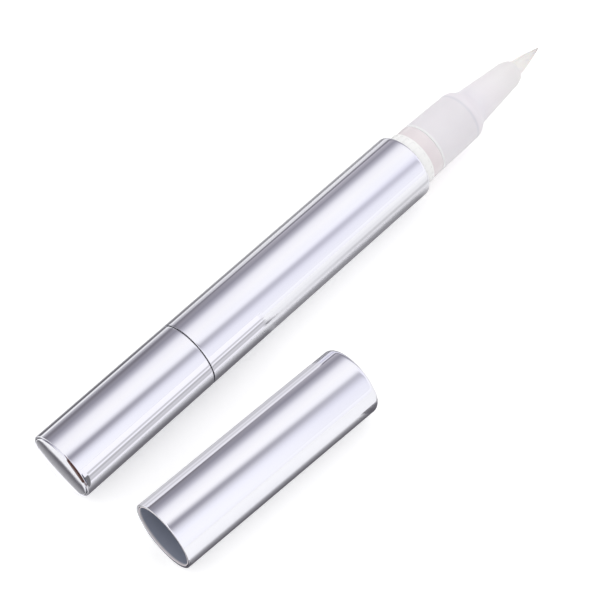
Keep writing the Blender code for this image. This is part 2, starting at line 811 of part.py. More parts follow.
def make_bristles():
    """Strands on half of each lattice cell lean to one apex; the other halves are their backing."""
    reach = bristle_tip - bristle_root
    bm = bmesh.new()
    lattice = []
    for row in range(STRANDS_ACROSS + 1):
        up = 2 * row / STRANDS_ACROSS - 1
        lattice.append([])
        for column in range(STRANDS_ACROSS + 1):
            y, z = disc_point(2 * column / STRANDS_ACROSS - 1, up, bristle_radius)
            lattice[row].append(bm.verts.new((bristle_root, y, z)))
    for row in range(STRANDS_ACROSS):
        for column in range(STRANDS_ACROSS):
            a, b = lattice[row][column], lattice[row][column + 1]
            c, d = lattice[row + 1][column + 1], lattice[row + 1][column]
            bm.faces.new((a, c, d))
            add_strand(bm, (a, b, c), reach)
    add_backing(bm, lattice)
    bmesh.ops.recalc_face_normals(bm, faces=bm.faces)
    item = mesh_object("bristles", bm, PEN)
    dressed(item, bristle_fibre)


def add_strand(bm, root, reach):
    """A three-sided strand: drawn towards the apex and slimmed at its waist, then to a point."""
    y = sum(vert.co.y for vert in root) / 3
    z = sum(vert.co.z for vert in root) / 3
    inwards = 1 - math.hypot(y, z) / bristle_radius
    length = reach * (SHORTEST_STRAND_SHARE + (1 - SHORTEST_STRAND_SHARE) * inwards)
    draw = 1 - STRAND_WAIST_SHARE
    waist = []
    for vert in root:
        lean_y = draw * (y + (vert.co.y - y) * STRAND_SLIM_SHARE)
        lean_z = draw * (z + (vert.co.z - z) * STRAND_SLIM_SHARE)
        waist.append(bm.verts.new((bristle_root + reach * STRAND_WAIST_SHARE, lean_y, lean_z)))
    left = 1 - length / reach
    tip = bm.verts.new((bristle_root + length, y * left, z * left))
    for i in range(3):
        j = (i + 1) % 3
        bm.faces.new((root[i], root[j], waist[j], waist[i]))
        bm.faces.new((waist[i], waist[j], tip))


def add_backing(bm, lattice):
    """The slice of backing behind the strands' roots."""
    last = STRANDS_ACROSS
    border = [lattice[0][i] for i in range(last)]
    border += [lattice[i][last] for i in range(last)]
    border += [lattice[last][last - i] for i in range(last)]
    border += [lattice[last - i][0] for i in range(last)]
    behind = [bm.verts.new((backing_rear, vert.co.y, vert.co.z)) for vert in border]
    count = len(border)
    for i in range(count):
        j = (i + 1) % count
        bm.faces.new((border[i], border[j], behind[j], behind[i]))
    bm.faces.new(behind)


def make_cap_sleeve():
    """A deep-drawn cup, its closed end to the front; stations count from its mouth."""
    inner_corner = CAP_CORNER_RADIUS - SLEEVE_WALL
    floor = CAP_LENGTH - SLEEVE_WALL
    outside = corner(
        CAP_LENGTH - CAP_CORNER_RADIUS, pen_radius - CAP_CORNER_RADIUS, CAP_CORNER_RADIUS,
        0, QUARTER_TURN,
    )
    turned("cap_sleeve", [
        (CAP_LENGTH, 0),
        *outside,
        (RIM_CHAMFER, pen_radius),
        (0, pen_radius - RIM_CHAMFER),
        (0, sleeve_bore_radius),
        (floor - inner_corner, sleeve_bore_radius),
        (floor, sleeve_bore_radius - inner_corner),
        (floor, 0),
    ], polished_metal, OUTER_SEGMENTS, closed=False, parent=CAP)


def make_cap_liner():
    """A plastic cup inside the cap; its bore flares to a thin lip at the mouth."""
    bore = liner_radius - LINER_WALL
    front = CAP_LENGTH - SLEEVE_WALL - LINER_DEPTH_GAP
    edge = CAP_CORNER_RADIUS - SLEEVE_WALL
    turned("cap_liner", [
        (front, 0),
        (front, liner_radius - edge),
        (front - edge, liner_radius),
        (LINER_RECESS, liner_radius),
        (LINER_RECESS, liner_radius - LINER_LIP),
        (LINER_RECESS + LINER_LEAD_LENGTH, bore),
        (front - LINER_WALL - edge, bore),
        (front - LINER_WALL, bore - edge),
        (front - LINER_WALL, 0),
    ], white_plastic, OUTER_SEGMENTS, closed=False, parent=CAP)


for leftover in list(bpy.data.objects):
    bpy.data.objects.remove(leftover)

PEN = fresh_collection("whitening_pen")
CUTTERS = fresh_collection("cutters")
KNOB = empty("knob_axis", (0, 0, 0))
CAP = empty("cap_frame", (CAP_MOUTH_STATION, -CAP_SIDE_OFFSET, 0), CAP_YAW)

make_knob_sleeve()
make_end_plug()
make_knob_core()
make_drag_ring()
make_click_spring()
make_click_wheel()
make_retaining_ring()
make_ratchet_crown()
make_lead_nut()
make_lead_screw()
make_piston()
make_barrel_sleeve()
make_reservoir()
make_holder_seal()
make_brush_holder()
make_bristle_plug()
make_feed_tube()
make_bristles()
make_cap_sleeve()
make_cap_liner()
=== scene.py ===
# %% [markdown]
# A twist-up whitening pen, with its cap taken off and laid beside it.
# The real pen is a clear plastic tube of gel inside thin polished metal sleeves, with a frosted
# brush holder pushed on its front. The frame holds the pen's sizes and its hidden mechanism, so
# this lesson makes only what the eye meets: metal, plastics, the brush and the cap's inside.

# %% Load the frame
import json
import math
import random

import bmesh
import bpy
from mathutils import Matrix, Vector


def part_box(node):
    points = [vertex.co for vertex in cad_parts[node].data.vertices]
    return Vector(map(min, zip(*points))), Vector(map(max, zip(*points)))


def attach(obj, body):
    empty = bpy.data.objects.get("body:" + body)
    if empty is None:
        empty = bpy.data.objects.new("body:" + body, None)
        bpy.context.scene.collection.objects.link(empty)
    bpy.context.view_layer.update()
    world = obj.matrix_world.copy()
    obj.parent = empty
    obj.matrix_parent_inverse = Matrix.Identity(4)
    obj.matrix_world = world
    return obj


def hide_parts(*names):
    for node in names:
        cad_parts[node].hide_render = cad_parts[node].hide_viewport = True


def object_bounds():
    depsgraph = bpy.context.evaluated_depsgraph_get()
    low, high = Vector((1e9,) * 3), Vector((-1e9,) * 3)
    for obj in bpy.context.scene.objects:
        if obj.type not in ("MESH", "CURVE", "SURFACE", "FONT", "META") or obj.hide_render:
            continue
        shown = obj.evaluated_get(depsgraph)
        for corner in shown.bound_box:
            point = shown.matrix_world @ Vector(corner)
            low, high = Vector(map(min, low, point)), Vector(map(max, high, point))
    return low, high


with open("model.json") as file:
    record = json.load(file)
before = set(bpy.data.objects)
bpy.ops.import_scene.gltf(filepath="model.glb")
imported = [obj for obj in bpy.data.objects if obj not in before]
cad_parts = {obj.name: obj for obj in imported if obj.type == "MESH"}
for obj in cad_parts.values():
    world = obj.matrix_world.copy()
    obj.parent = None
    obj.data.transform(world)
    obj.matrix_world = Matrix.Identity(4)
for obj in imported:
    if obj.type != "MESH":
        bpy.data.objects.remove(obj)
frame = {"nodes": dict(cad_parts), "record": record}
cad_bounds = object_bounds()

print("nodes in the frame:", len(frame["nodes"]))

# %% [markdown]
# Every place comes from the frame's own boxes, so that the looks follow the model if its sizes
# change. A station is a place along the pen, counted from its rear face. Only small things that a
# box can't tell, such as a wall or a round edge, have a value of their own, next to their piece.

# %% Stations and radii from the frame
MM = 0.001
SEGMENTS = 144
NEAR = 0.004 * MM
ALIGNED = 0.99

knob_low, knob_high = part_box("knob_sleeve")
_, plug_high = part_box("end_plug")
barrel_low, barrel_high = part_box("barrel_sleeve")
reservoir_low, reservoir_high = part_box("reservoir")
holder_low, holder_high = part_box("brush_holder")
bristle_low, bristle_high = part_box("bristles")
cap_low, cap_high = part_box("cap_sleeve")

pen_radius = knob_high.z
table_height = cad_bounds[0].z
print("pen radius in mm:", round(pen_radius / MM, 3), "table at", round(table_height / MM, 3))

# %% [markdown]
# The camera looks down on the pen from its rear right, close enough for some perspective. A fit of
# the pen's outlines in the photograph gave its place and lens. The picture is square.

# %% Camera
CAMERA_PLACE = Vector((-71.92, -118.40, 255.85)) * MM
CAMERA_TARGET = Vector((47.26, -5.74, 0.0)) * MM
CAMERA_LENS = 112.96
CAMERA_SENSOR = 36

bpy.ops.object.select_all(action="DESELECT")
bpy.ops.object.camera_add(location=CAMERA_PLACE)
camera = bpy.context.object
camera.name = "camera"
camera.rotation_euler = (CAMERA_TARGET - CAMERA_PLACE).to_track_quat("-Z", "Y").to_euler()
camera.data.lens = CAMERA_LENS
camera.data.sensor_width = CAMERA_SENSOR
camera.data.clip_start = 10 * MM
bpy.context.scene.camera = camera
bpy.context.scene.view_settings.view_transform = "Standard"
print("camera turned to", [round(math.degrees(angle), 1) for angle in camera.rotation_euler])

# %% [markdown]
# Polished metal has no colour of its own, only what it mirrors, so the room matters as much as the
# metal. The photograph was made in a white tent: the sleeves mirror a soft grey falling away at
# the back, a broad white panel overhead and a lavender white one in front. The tent's panels run
# along the pen, so the brightness depends only on the angle round the pen's axis. Rays that light
# the plastics see a plain white tent, and so do rays that come straight from the camera.

# %% Small helpers for shader trees
def add_node(tree, kind, **settings):
    """Adds a node and sets the properties or inputs that are named."""
    node = tree.nodes.new(kind)
    for name, value in settings.items():
        if hasattr(node, name):
            setattr(node, name, value)
        else:
            node.inputs[name.replace("_", " ")].default_value = value
    return node


def bare_material(name):
    """A material with an empty shader tree."""
    material = bpy.data.materials.new(name)
    material.use_nodes = True
    material.node_tree.nodes.clear()
    return material, material.node_tree


def compute(tree, operation, *values):
    """One step of arithmetic on numbers and outputs."""
    node = add_node(tree, "ShaderNodeMath", operation=operation)
    for socket, value in zip(node.inputs, values):
        if isinstance(value, (int, float)):
            socket.default_value = value
        else:
            tree.links.new(value, socket)
    return node.outputs[0]


def map_range(tree, value, low, high, to_low=0.0, to_high=1.0):
    """Moves a value from one span to another."""
    span = add_node(
        tree, "ShaderNodeMapRange", From_Min=low, From_Max=high, To_Min=to_low, To_Max=to_high,
    )
    tree.links.new(value, span.inputs["Value"])
    return span.outputs[0]


def colour_ramp(tree, value, stops):
    """A ramp whose stops give a place from 0 to 1 and a colour, which may have an alpha."""
    node = add_node(tree, "ShaderNodeValToRGB")
    ramp = node.color_ramp
    while len(ramp.elements) > 1:
        ramp.elements.remove(ramp.elements[-1])
    for index, (place, colour) in enumerate(stops):
        stop = ramp.elements[0] if index == 0 else ramp.elements.new(place)
        stop.position = place
        stop.color = (*colour, 1)[:4]
    tree.links.new(value, node.inputs[0])
    return node.outputs


def own_place(tree, kind="Object"):
    """The place of the point that is shaded."""
    return add_node(tree, "ShaderNodeTexCoord").outputs[kind]


def split(tree, vector):
    """A vector's parts along X, Y and Z."""
    parts = add_node(tree, "ShaderNodeSeparateXYZ")
    tree.links.new(vector, parts.inputs[0])
    return parts.outputs


def tell_rays(tree):
    """Two outputs: 1 for rays from the camera or through clear plastic, 1 for mirrored rays."""
    ray = add_node(tree, "ShaderNodeLightPath").outputs
    shown = compute(tree, "MAXIMUM", ray["Is Camera Ray"], ray["Is Transmission Ray"])
    return shown, ray["Is Glossy Ray"]


# %% The tent, seen in the metal
LIGHTING_WHITE = 0.88
BACKGROUND_WHITE = 1.0
# Angle round the pen in degrees: 0 is the near edge of the table, 90 straight up, 180 the far edge.
TENT_PANELS = [
    (-180, (0.30, 0.29, 0.32)),
    (-170, (0.80, 0.80, 0.82)),
    (-12, (1.04, 1.04, 1.06)),
    (0, (1.05, 1.05, 1.09)),
    (15, (1.09, 1.09, 1.13)),
    (30, (1.08, 1.08, 1.13)),
    (52, (1.04, 1.04, 1.12)),
    (75, (1.08, 1.08, 1.12)),
    (100, (1.11, 1.10, 1.10)),
    (110, (1.07, 1.06, 1.08)),
    (118, (1.02, 1.01, 1.04)),
    (124, (0.94, 0.93, 0.97)),
    (129, (0.82, 0.81, 0.86)),
    (134, (0.67, 0.66, 0.72)),
    (140, (0.52, 0.51, 0.57)),
    (146, (0.42, 0.41, 0.46)),
    (152, (0.33, 0.32, 0.37)),
    (160, (0.31, 0.30, 0.34)),
    (166, (0.26, 0.25, 0.28)),
    (170, (0.22, 0.21, 0.24)),
    (174, (0.24, 0.23, 0.26)),
    (178, (0.31, 0.30, 0.33)),
    (180, (0.37, 0.36, 0.39)),
]

world = bpy.data.worlds.new("tent")
bpy.context.scene.world = world
world.use_nodes = True
tree = world.node_tree
tree.nodes.clear()
direction = split(tree, own_place(tree, "Generated"))
near_side = compute(tree, "MULTIPLY", direction["Y"], -1)
angle = compute(tree, "ARCTAN2", direction["Z"], near_side)
panels = colour_ramp(
    tree, map_range(tree, angle, -math.pi, math.pi),
    [((place + 180) / 360, colour) for place, colour in TENT_PANELS],
)
shown, mirrored = tell_rays(tree)
level = map_range(tree, shown, 0, 1, LIGHTING_WHITE, BACKGROUND_WHITE)
tent = add_node(tree, "ShaderNodeBackground")
plain = add_node(tree, "ShaderNodeBackground", Color=(1, 1, 1, 1))
choice = add_node(tree, "ShaderNodeMixShader")
output = add_node(tree, "ShaderNodeOutputWorld")
tree.links.new(panels["Color"], tent.inputs["Color"])
tree.links.new(level, plain.inputs["Strength"])
tree.links.new(mirrored, choice.inputs[0])
tree.links.new(plain.outputs[0], choice.inputs[1])
tree.links.new(tent.outputs[0], choice.inputs[2])
tree.links.new(choice.outputs[0], output.inputs["Surface"])
print("tent panels:", len(TENT_PANELS))

# %% [markdown]
# The table is white paper. It gives most of its light as a plain diffuse surface, which keeps the
# pen's shadow, and adds some of its own, so that it reads as the photograph's pure white: more for
# rays from the camera or through clear plastic, and a little for rays that the metal mirrors.

# %% The table
TABLE_SIZE = 3.0
TABLE_DROP = 0.02 * MM
TABLE_WHITE = 0.88
TABLE_GLOW = 0.36
TABLE_SHEEN = 0.18

bpy.ops.object.select_all(action="DESELECT")
bpy.ops.mesh.primitive_plane_add(size=TABLE_SIZE, location=(0, 0, table_height - TABLE_DROP))
table = bpy.context.object
table.name = "table"


def paper_finish():
    """White paper with a glow of its own."""
    material, tree = bare_material("white_paper")
    shown, mirrored = tell_rays(tree)
    strength = compute(
        tree, "MAXIMUM",
        compute(tree, "MULTIPLY", shown, TABLE_GLOW),
        compute(tree, "MULTIPLY", mirrored, TABLE_SHEEN),
    )
    surface = add_node(tree, "ShaderNodeBsdfDiffuse", Color=(*[TABLE_WHITE] * 3, 1))
    glow = add_node(tree, "ShaderNodeEmission", Color=(1, 1, 1, 1))
    both = add_node(tree, "ShaderNodeAddShader")
    output = add_node(tree, "ShaderNodeOutputMaterial")
    tree.links.new(strength, glow.inputs["Strength"])
    tree.links.new(surface.outputs[0], both.inputs[0])
    tree.links.new(glow.outputs[0], both.inputs[1])
    tree.links.new(both.outputs[0], output.inputs["Surface"])
    return material


table.data.materials.append(paper_finish())
print("table top at", round(table.location.z / MM, 3), "mm")

# %% [markdown]
# Two lamps give the plastics a soft form. The metal doesn't see them, because it mirrors the tent.

# %% Lamps
LAMPS = [
    ("key_lamp", Vector((-150, 260, 420)) * MM, 0.45, 0.50),
    ("fill_lamp", Vector((260, -220, 380)) * MM, 0.45, 0.20),
]

for name, place, size, power in LAMPS:
    bpy.ops.object.light_add(type="AREA", location=place)
    lamp = bpy.context.object
    lamp.name = name
    lamp.data.size = size
    lamp.data.energy = power
    lamp.rotation_euler = (CAMERA_TARGET - place).to_track_quat("-Z", "Y").to_euler()
    lamp.visible_glossy = False
    print(name, "stands", round((CAMERA_TARGET - place).length / MM), "mm away")

# %% [markdown]
# The cap lies turned a few degrees from the pen. The frame gives the flat of its closed end, the
# direction of its pull and its box, which together tell how long it is and where its mouth is.

# %% Where the cap lies
end_mount = next(m for m in frame["record"]["mounts"] if m["name"] == "cap_end_face")
cap_axis = Vector(end_mount["axis"])
cap_end = Vector(end_mount["pos_m"])
cap_yaw = math.atan2(cap_axis.y, cap_axis.x)
cap_radius = cap_high.z
cap_reach = cap_high.x - cap_low.x
cap_length = (cap_reach - 2 * cap_radius * math.sin(abs(cap_yaw))) / math.cos(cap_yaw)
cap_mouth = cap_end - cap_axis * cap_length
print("cap length in mm:", round(cap_length / MM, 2), "yaw", round(math.degrees(cap_yaw), 2))

# %% [markdown]
# Photographers lay grey cards out of sight to draw the outline of shiny metal. Where the pen lies
# on the table, dark cards here paint its shade, and the metal mirrors that painted shade. Each card
# here is seen by mirrored rays only. Its grey covers what lies behind it more or less from place to
# place, so each card is given by two rows of places and covers, one across it and one along it,
# counted from its start. The cards that serve the cap ride with it, so that the metal stays clean
# when the cap is pulled away.

# %% A card that only metal sees
# A plane of size 1 runs from -0.5 to 0.5 in its own places.
UNIT_HALF = 0.5
CAP_CARDS = (
    "cap_near_shade", "pen_side_reflection_strip", "cap_side_reflection_strip", "mouth_reflection_strip", "mouth_shade",
    "cap_end_shade",
)


def card_finish(name, colour, across, along):
    """A glow that fades out; a stop has a place, a cover and, if not 1, a brightness."""
    material, tree = bare_material(name)
    parts = split(tree, own_place(tree))
    ramps = []
    for axis, stops in (("Y", across), ("X", along)):
        first, last = stops[0][0], stops[-1][0]
        colours = []
        for spot, cover, level in ((*stop, 1)[:3] for stop in stops):
            colours.append(((spot - first) / (last - first), (level, level, level, cover)))
        share = compute(tree, "ADD", parts[axis], UNIT_HALF)
        ramps.append(colour_ramp(tree, share, colours))
    cover = compute(tree, "MULTIPLY", ramps[0]["Alpha"], ramps[1]["Alpha"])
    clear = add_node(tree, "ShaderNodeBsdfTransparent")
    paper = add_node(tree, "ShaderNodeEmission", Color=(*colour, 1))
    mix = add_node(tree, "ShaderNodeMixShader")
    output = add_node(tree, "ShaderNodeOutputMaterial")
    tree.links.new(ramps[0]["Color"], paper.inputs["Strength"])
    tree.links.new(cover, mix.inputs[0])
    tree.links.new(clear.outputs[0], mix.inputs[1])
    tree.links.new(paper.outputs[0], mix.inputs[2])
    tree.links.new(mix.outputs[0], output.inputs["Surface"])
    return material


def grey_card(name, start, yaw, height, colour, across, along, upright=False):
    """Lays a card, or stands it up; its places are in millimetres from its start."""
    length, width = along[-1][0] - along[0][0], across[-1][0] - across[0][0]
    ahead = (along[0][0] + along[-1][0]) / 2 * MM
    aside = (across[0][0] + across[-1][0]) / 2 * MM
    middle = Vector((ahead, 0, aside) if upright else (ahead, aside, 0))
    middle.rotate(Matrix.Rotation(yaw, 3, "Z"))
    place = middle + Vector((start[0], start[1], height))
    bpy.ops.object.select_all(action="DESELECT")
    lean = math.pi / 2 if upright else 0
    bpy.ops.mesh.primitive_plane_add(size=1, location=place, rotation=(lean, 0, yaw))
    sheet = bpy.context.object
    sheet.name = name
    sheet.scale = (length * MM, width * MM, 1)
    sheet.data.materials.append(card_finish(f"{name}_grey", colour, across, along))
    sheet.visible_camera = False
    sheet.visible_diffuse = False
    sheet.visible_transmission = False
    sheet.visible_shadow = False
    if name in CAP_CARDS:
        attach(sheet, "cap")
    print(f"{name}: {length:.1f} x {width:.1f} mm at height {height / MM:.3f} mm")


# %% [markdown]
# The seam between two panels of the tent hangs over the pen. It is the grey line along the middle
# of the metal: steep on the far side, slow on the near side, and fainter towards the brush.

# %% The tent's seam
SEAM_START = Vector((42, -60)) * MM
SEAM_END = Vector((170, -123)) * MM
SEAM_HEIGHT = 150 * MM
SEAM_COLOUR = (0.33, 0.32, 0.37)
SEAM_ACROSS = [
    (-150, 0), (-115, 0.02), (-100, 0.05), (-85, 0.10), (-75, 0.16), (-65, 0.24), (-55, 0.34),
    (-45, 0.46), (-35, 0.61), (-25, 0.79), (-15, 0.95), (-8, 1), (-1, 1), (6, 0.91), (14, 0.67),
    (23, 0.37), (32, 0.14), (42, 0.02), (50, 0),
]
SEAM_ALONG = [
    (-30, 0.97), (0, 0.95), (21, 0.86), (46, 0.73), (57, 0.65), (76, 0.56), (97, 0.53), (118, 0.50),
    (135, 0.46), (170, 0.42), (260, 0.36), (330, 0.30), (360, 0),
]

seam_line = SEAM_END - SEAM_START
seam_yaw = math.atan2(seam_line.y, seam_line.x)
grey_card("tent_seam_card", SEAM_START, seam_yaw, SEAM_HEIGHT, SEAM_COLOUR, SEAM_ACROSS, SEAM_ALONG)

# %% [markdown]
# Two more sheets hang in the tent. A faint lavender one in front tones the barrel's lower half down
# towards the brush, and a light one at the back lifts the dark band along the barrel's far side.

# %% The tent's front and back
FRONT_START = Vector((45, 0)) * MM
FRONT_TURN = math.radians(13.5)
FRONT_HEIGHT = SEAM_HEIGHT * 1.01
FRONT_COLOUR = (0.30, 0.28, 0.55)
BACK_TURN = math.radians(-21.3)
BACK_COLOUR = (0.62, 0.60, 0.66)
origin = Vector((0, 0))

grey_card(
    "tent_front_card", FRONT_START, FRONT_TURN, FRONT_HEIGHT, FRONT_COLOUR,
    [(-900, 0.5), (-500, 0.8), (-250, 1), (-110, 1), (-70, 0)],
    [(-30, 0), (-8, 0.04), (10, 0.09), (30, 0.12), (60, 0.15), (300, 0.12)],
)
grey_card(
    "tent_back_card", origin, BACK_TURN, SEAM_HEIGHT, BACK_COLOUR,
    [(330, 0), (425, 0.3), (520, 0.45), (650, 0.6), (870, 0.85), (1030, 0.9), (1200, 0)],
    [(-10, 0), (38, 0.45), (100, 1), (200, 1)],
)

# %% [markdown]
# The near side of each tube mirrors a narrow shade that a dark sheet paints on the table, and the
# far side a wider one. Further away a grey sheet paints the paper greyer, as the tent's back wall
# gives it less light. The barrel has a wide faint painted shade in front of it that grows towards
# the brush.

# %% Painted shade on the table
# Grey of the dark sheets that paint shade on the table.
SHADE = (0.13, 0.125, 0.14)
# Grey of the far sheet: painted shade for the paper's lesser light.
FAR_SHADE = (0.42, 0.41, 0.45)
SHEET_GAP = TABLE_DROP / 10
pen_length = barrel_high.x / MM
cap_span = cap_length / MM

sheets = [
    (
        "knob_near_shade", origin, 0, SHADE,
        [
            (-14.4, 0), (-13.1, 0.14), (-12.4, 0.28), (-11.6, 0.41), (-10.8, 0.52), (-10, 0.64),
            (-9.2, 0.75), (-8.4, 0.84), (-7.6, 0.89), (-6.8, 0.92), (-4, 0.92),
        ],
        [(-1, 1), (20, 1), (42, 0.97), (44, 0)],
    ),
    (
        "barrel_near_shade", origin, 0, SHADE,
        [
            (-12.9, 0), (-11.9, 0.15), (-11.2, 0.32), (-10.5, 0.5), (-9.8, 0.61), (-9, 0.67),
            (-8.2, 0.73), (-7, 0.77), (-4, 0.78),
        ],
        [(42, 0), (44, 1), (pen_length, 1), (pen_length + 3, 0.5), (pen_length + 5, 0)],
    ),
    (
        "barrel_wide_shade", origin, 0, SHADE,
        [
            (-140, 0), (-100, 0.05), (-60, 0.06), (-46, 0.07), (-38, 0.11), (-33, 0.15),
            (-27, 0.15), (-22.5, 0.18), (-20, 0.29), (-18.4, 0.38), (-16.6, 0.43), (-15.2, 0.35),
            (-13.8, 0.25), (-12.4, 0.19), (-11, 0.1), (-10, 0),
        ],
        [
            (40, 0), (46, 0.4), (55, 0.57), (68, 0.95), (pen_length, 1), (pen_length + 25, 0.9),
            (pen_length + 60, 0),
        ],
    ),
    (
        "pen_far_shade", origin, 0, SHADE,
        [
            (5.4, 0.1), (10, 0.3), (14, 0.6), (18, 0.88), (22, 1), (27, 1), (30, 0.68), (34, 0.32),
            (39, 0.1), (46, 0),
        ],
        [(0.5, 1), (24, 1), (46, 0.86), (75, 0.78), (pen_length + 20, 0.74)],
    ),
    (
        "far_paper_shade", origin, BACK_TURN, FAR_SHADE,
        [
            (50, 0), (58, 0.18), (66, 0.38), (74, 0.58), (90, 0.74), (113, 0.86), (170, 0.92),
            (400, 0.96), (1400, 1),
        ],
        [(-1400, 1), (10, 1), (39, 0.55), (63, 0.35), (80, 0.45), (200, 0.8), (1400, 0.95)],
    ),
    (
        "cap_near_shade", cap_mouth, cap_yaw, SHADE,
        [
            (-13.1, 0), (-11.8, 0.17), (-11.2, 0.32), (-10.6, 0.48), (-10.1, 0.6), (-9.6, 0.7),
            (-8.6, 0.81), (-7.6, 0.88), (-6.7, 0.94), (-5.7, 0.98), (-3, 1),
        ],
        [(-1, 1), (cap_span, 1), (cap_span + 5, 0.8), (cap_span + 8, 0)],
    ),
]
for number, (name, start, yaw, colour, across, along) in enumerate(sheets, 1):
    height = table_height - TABLE_DROP + number * SHEET_GAP
    grey_card(name, start, yaw, height, colour, across, along)

# %% [markdown]
# The two tubes mirror each other. A narrow strip of pale card stands between them, and its bands
# paint the lines that each tube shows of the other, a painted reflection instead of a murky copy.
# A dark card at the cap's mouth paints the dark patch that the knob mirrors there.

# %% Painted reflections between the tubes
BETWEEN = Vector((2.5, -9.9)) * MM
BETWEEN_GAP = Vector((0, 0.2)) * MM
BETWEEN_ALONG = [(0, 1), (cap_span - 1.1, 1), (cap_span - 0.1, 0)]
# Brightness of the pale strips, whose bands are a painted reflection of the other tube.
BETWEEN_REFLECTION_WHITE = (1, 0.99, 1.03)
MOUTH_START = Vector((1.7, -9.9)) * MM
# Grey of the card that paints the dark patch mirrored at the cap's mouth.
MOUTH_REFLECTION_GREY = (0.2, 0.198, 0.206)

grey_card(
    "pen_side_reflection_strip", BETWEEN, cap_yaw / 2, 0, BETWEEN_REFLECTION_WHITE,
    [
        (-3.1, 0, 0.95), (-2.6, 0.9, 1), (-2.1, 1, 1.02), (-1.6, 1, 1), (-1.35, 1, 0.8),
        (-1.1, 1, 0.68), (-0.7, 1, 0.64), (-0.25, 1, 0.68), (0.2, 1, 0.74), (0.55, 1, 0.64),
        (0.9, 1, 0.52), (1.2, 1, 0.54), (1.45, 1, 0.72), (1.65, 1, 1), (1.85, 1, 1.1),
        (2.05, 1, 1.08), (2.3, 1, 0.84), (2.5, 1, 0.7), (2.85, 1, 0.68), (3.1, 1, 0.88),
        (3.35, 1, 1.1), (5.8, 1, 1.12), (6.05, 0, 1.12),
    ],
    BETWEEN_ALONG, upright=True,
)
grey_card(
    "cap_side_reflection_strip", BETWEEN - BETWEEN_GAP, cap_yaw / 2, 0, BETWEEN_REFLECTION_WHITE,
    [
        (-3.2, 0, 0.77), (-2.6, 1, 0.77), (-1.5, 1, 0.72), (0, 1, 0.64), (1, 1, 0.62),
        (1.6, 1, 0.67), (2.3, 1, 0.8), (3, 1, 0.9), (3.3, 1, 0.84), (3.8, 1, 0.68), (4.2, 1, 0.78),
        (4.8, 1, 0.97), (5.4, 1, 0.95), (5.95, 1, 0.88), (6.05, 0, 0.88),
    ],
    BETWEEN_ALONG, upright=True,
)
grey_card(
    "mouth_reflection_strip", MOUTH_START, 0, 0, MOUTH_REFLECTION_GREY,
    [(-4.6, 0), (-4, 1), (2, 1), (2.3, 1, 5.4), (5.8, 1, 5.5), (6.05, 0, 5.5)],
    [(0, 0), (0.15, 1), (0.8, 1)], upright=True,
)

# %% [markdown]
# The end faces mirror the table just past them. Behind the plug, a bright sheet paints light and a
# grey one paints shade, and the plug mirrors them as its crescent. Dark sheets at the cap's mouth
# and closed end paint shade there, which draws the lines round their rims.

# %% Painted light and shade past the ends
PLUG_TURN = math.radians(5.3)
# Brightness of the sheet that paints light on the table behind the plug.
PLUG_GLOW = (1.18, 1.17, 1.2)
PLUG_START = Vector((-0.85, 0)) * MM

ends = [
    (
        "plug_glow", origin, PLUG_TURN, PLUG_GLOW, [(-7, 1), (13, 1)],
        [(-0.95, 0), (-0.8, 0.6), (-0.7, 1), (-0.05, 1), (0.1, 0)],
    ),
    (
        "plug_shade", PLUG_START, PLUG_TURN, SHADE,
        [(-6, 1), (12, 1)],
        [
            (-1.62, 0), (-1.5, 0.3), (-1.38, 0.7), (-1.27, 0.93), (-1.15, 1), (-1, 0.97),
            (-0.85, 0.91), (-0.7, 0.84), (-0.5, 0.75), (-0.36, 0.7), (-0.24, 0.67), (-0.12, 0.62),
            (0, 0.5), (0.1, 0),
        ],
    ),
    (
        "mouth_shade", cap_mouth, cap_yaw, SHADE,
        [(-12, 1), (4, 1), (6.5, 0)],
        [(-2.8, 0), (-2.2, 1), (1.2, 1), (1.8, 0)],
    ),
    (
        "cap_end_shade", cap_end, cap_yaw, SHADE,
        [(-13, 0.8), (-6, 1), (4.5, 1), (5.8, 0)],
        [(-0.6, 0), (0, 1), (3, 0.9), (6, 0)],
    ),
]
for number, (name, start, yaw, colour, across, along) in enumerate(ends, len(sheets) + 1):
    height = table_height - TABLE_DROP + number * SHEET_GAP
    grey_card(name, start, yaw, height, colour, across, along)

# %% [markdown]
# Blender's operators act on all that is selected, and loading the frame leaves its pieces
# selected. So each piece starts with nothing selected, and its faces and edges are then picked by
# their place. Most of the pen is turned: a bar is added at its size, and its end faces are extruded
# and scaled from station to station, which follows the part's section as a lathe would.

# %% Picking and reaching
def free_hands():
    """Leaves edit mode and deselects everything."""
    if bpy.context.object and bpy.context.object.mode != "OBJECT":
        bpy.ops.object.mode_set(mode="OBJECT")
    bpy.ops.object.select_all(action="DESELECT")


def add_bar(name, radius, rear, front, segments=SEGMENTS):
    """A round bar along the pen, open for editing."""
    free_hands()
    bpy.ops.mesh.primitive_cylinder_add(
        vertices=segments, radius=radius, depth=front - rear, end_fill_type="NGON",
        location=((rear + front) / 2, 0, 0), rotation=(0, math.pi / 2, 0),
    )
    piece = bpy.context.object
    piece.name = name
    bpy.ops.object.transform_apply(location=True, rotation=True, scale=True)
    bpy.ops.object.mode_set(mode="EDIT")
    return piece


def pick(piece, kind, test):
    """Selects the faces or edges that pass a test, and nothing else."""
    bpy.ops.mesh.select_mode(type=kind)
    bpy.ops.mesh.select_all(action="DESELECT")
    shape = bmesh.from_edit_mesh(piece.data)
    found = [part for part in (shape.faces if kind == "FACE" else shape.edges) if test(part)]
    for part in found:
        part.select_set(True)
    bmesh.update_edit_mesh(piece.data)
    return len(found)


def end_face(*stations):
    """Finds the flat faces across the pen at these stations."""
    def test(face):
        middle = face.calc_center_median()
        level = any(abs(middle.x - station) < NEAR for station in stations)
        centred = math.hypot(middle.y, middle.z) < NEAR
        return level and centred and abs(face.normal.x) > ALIGNED
    return test


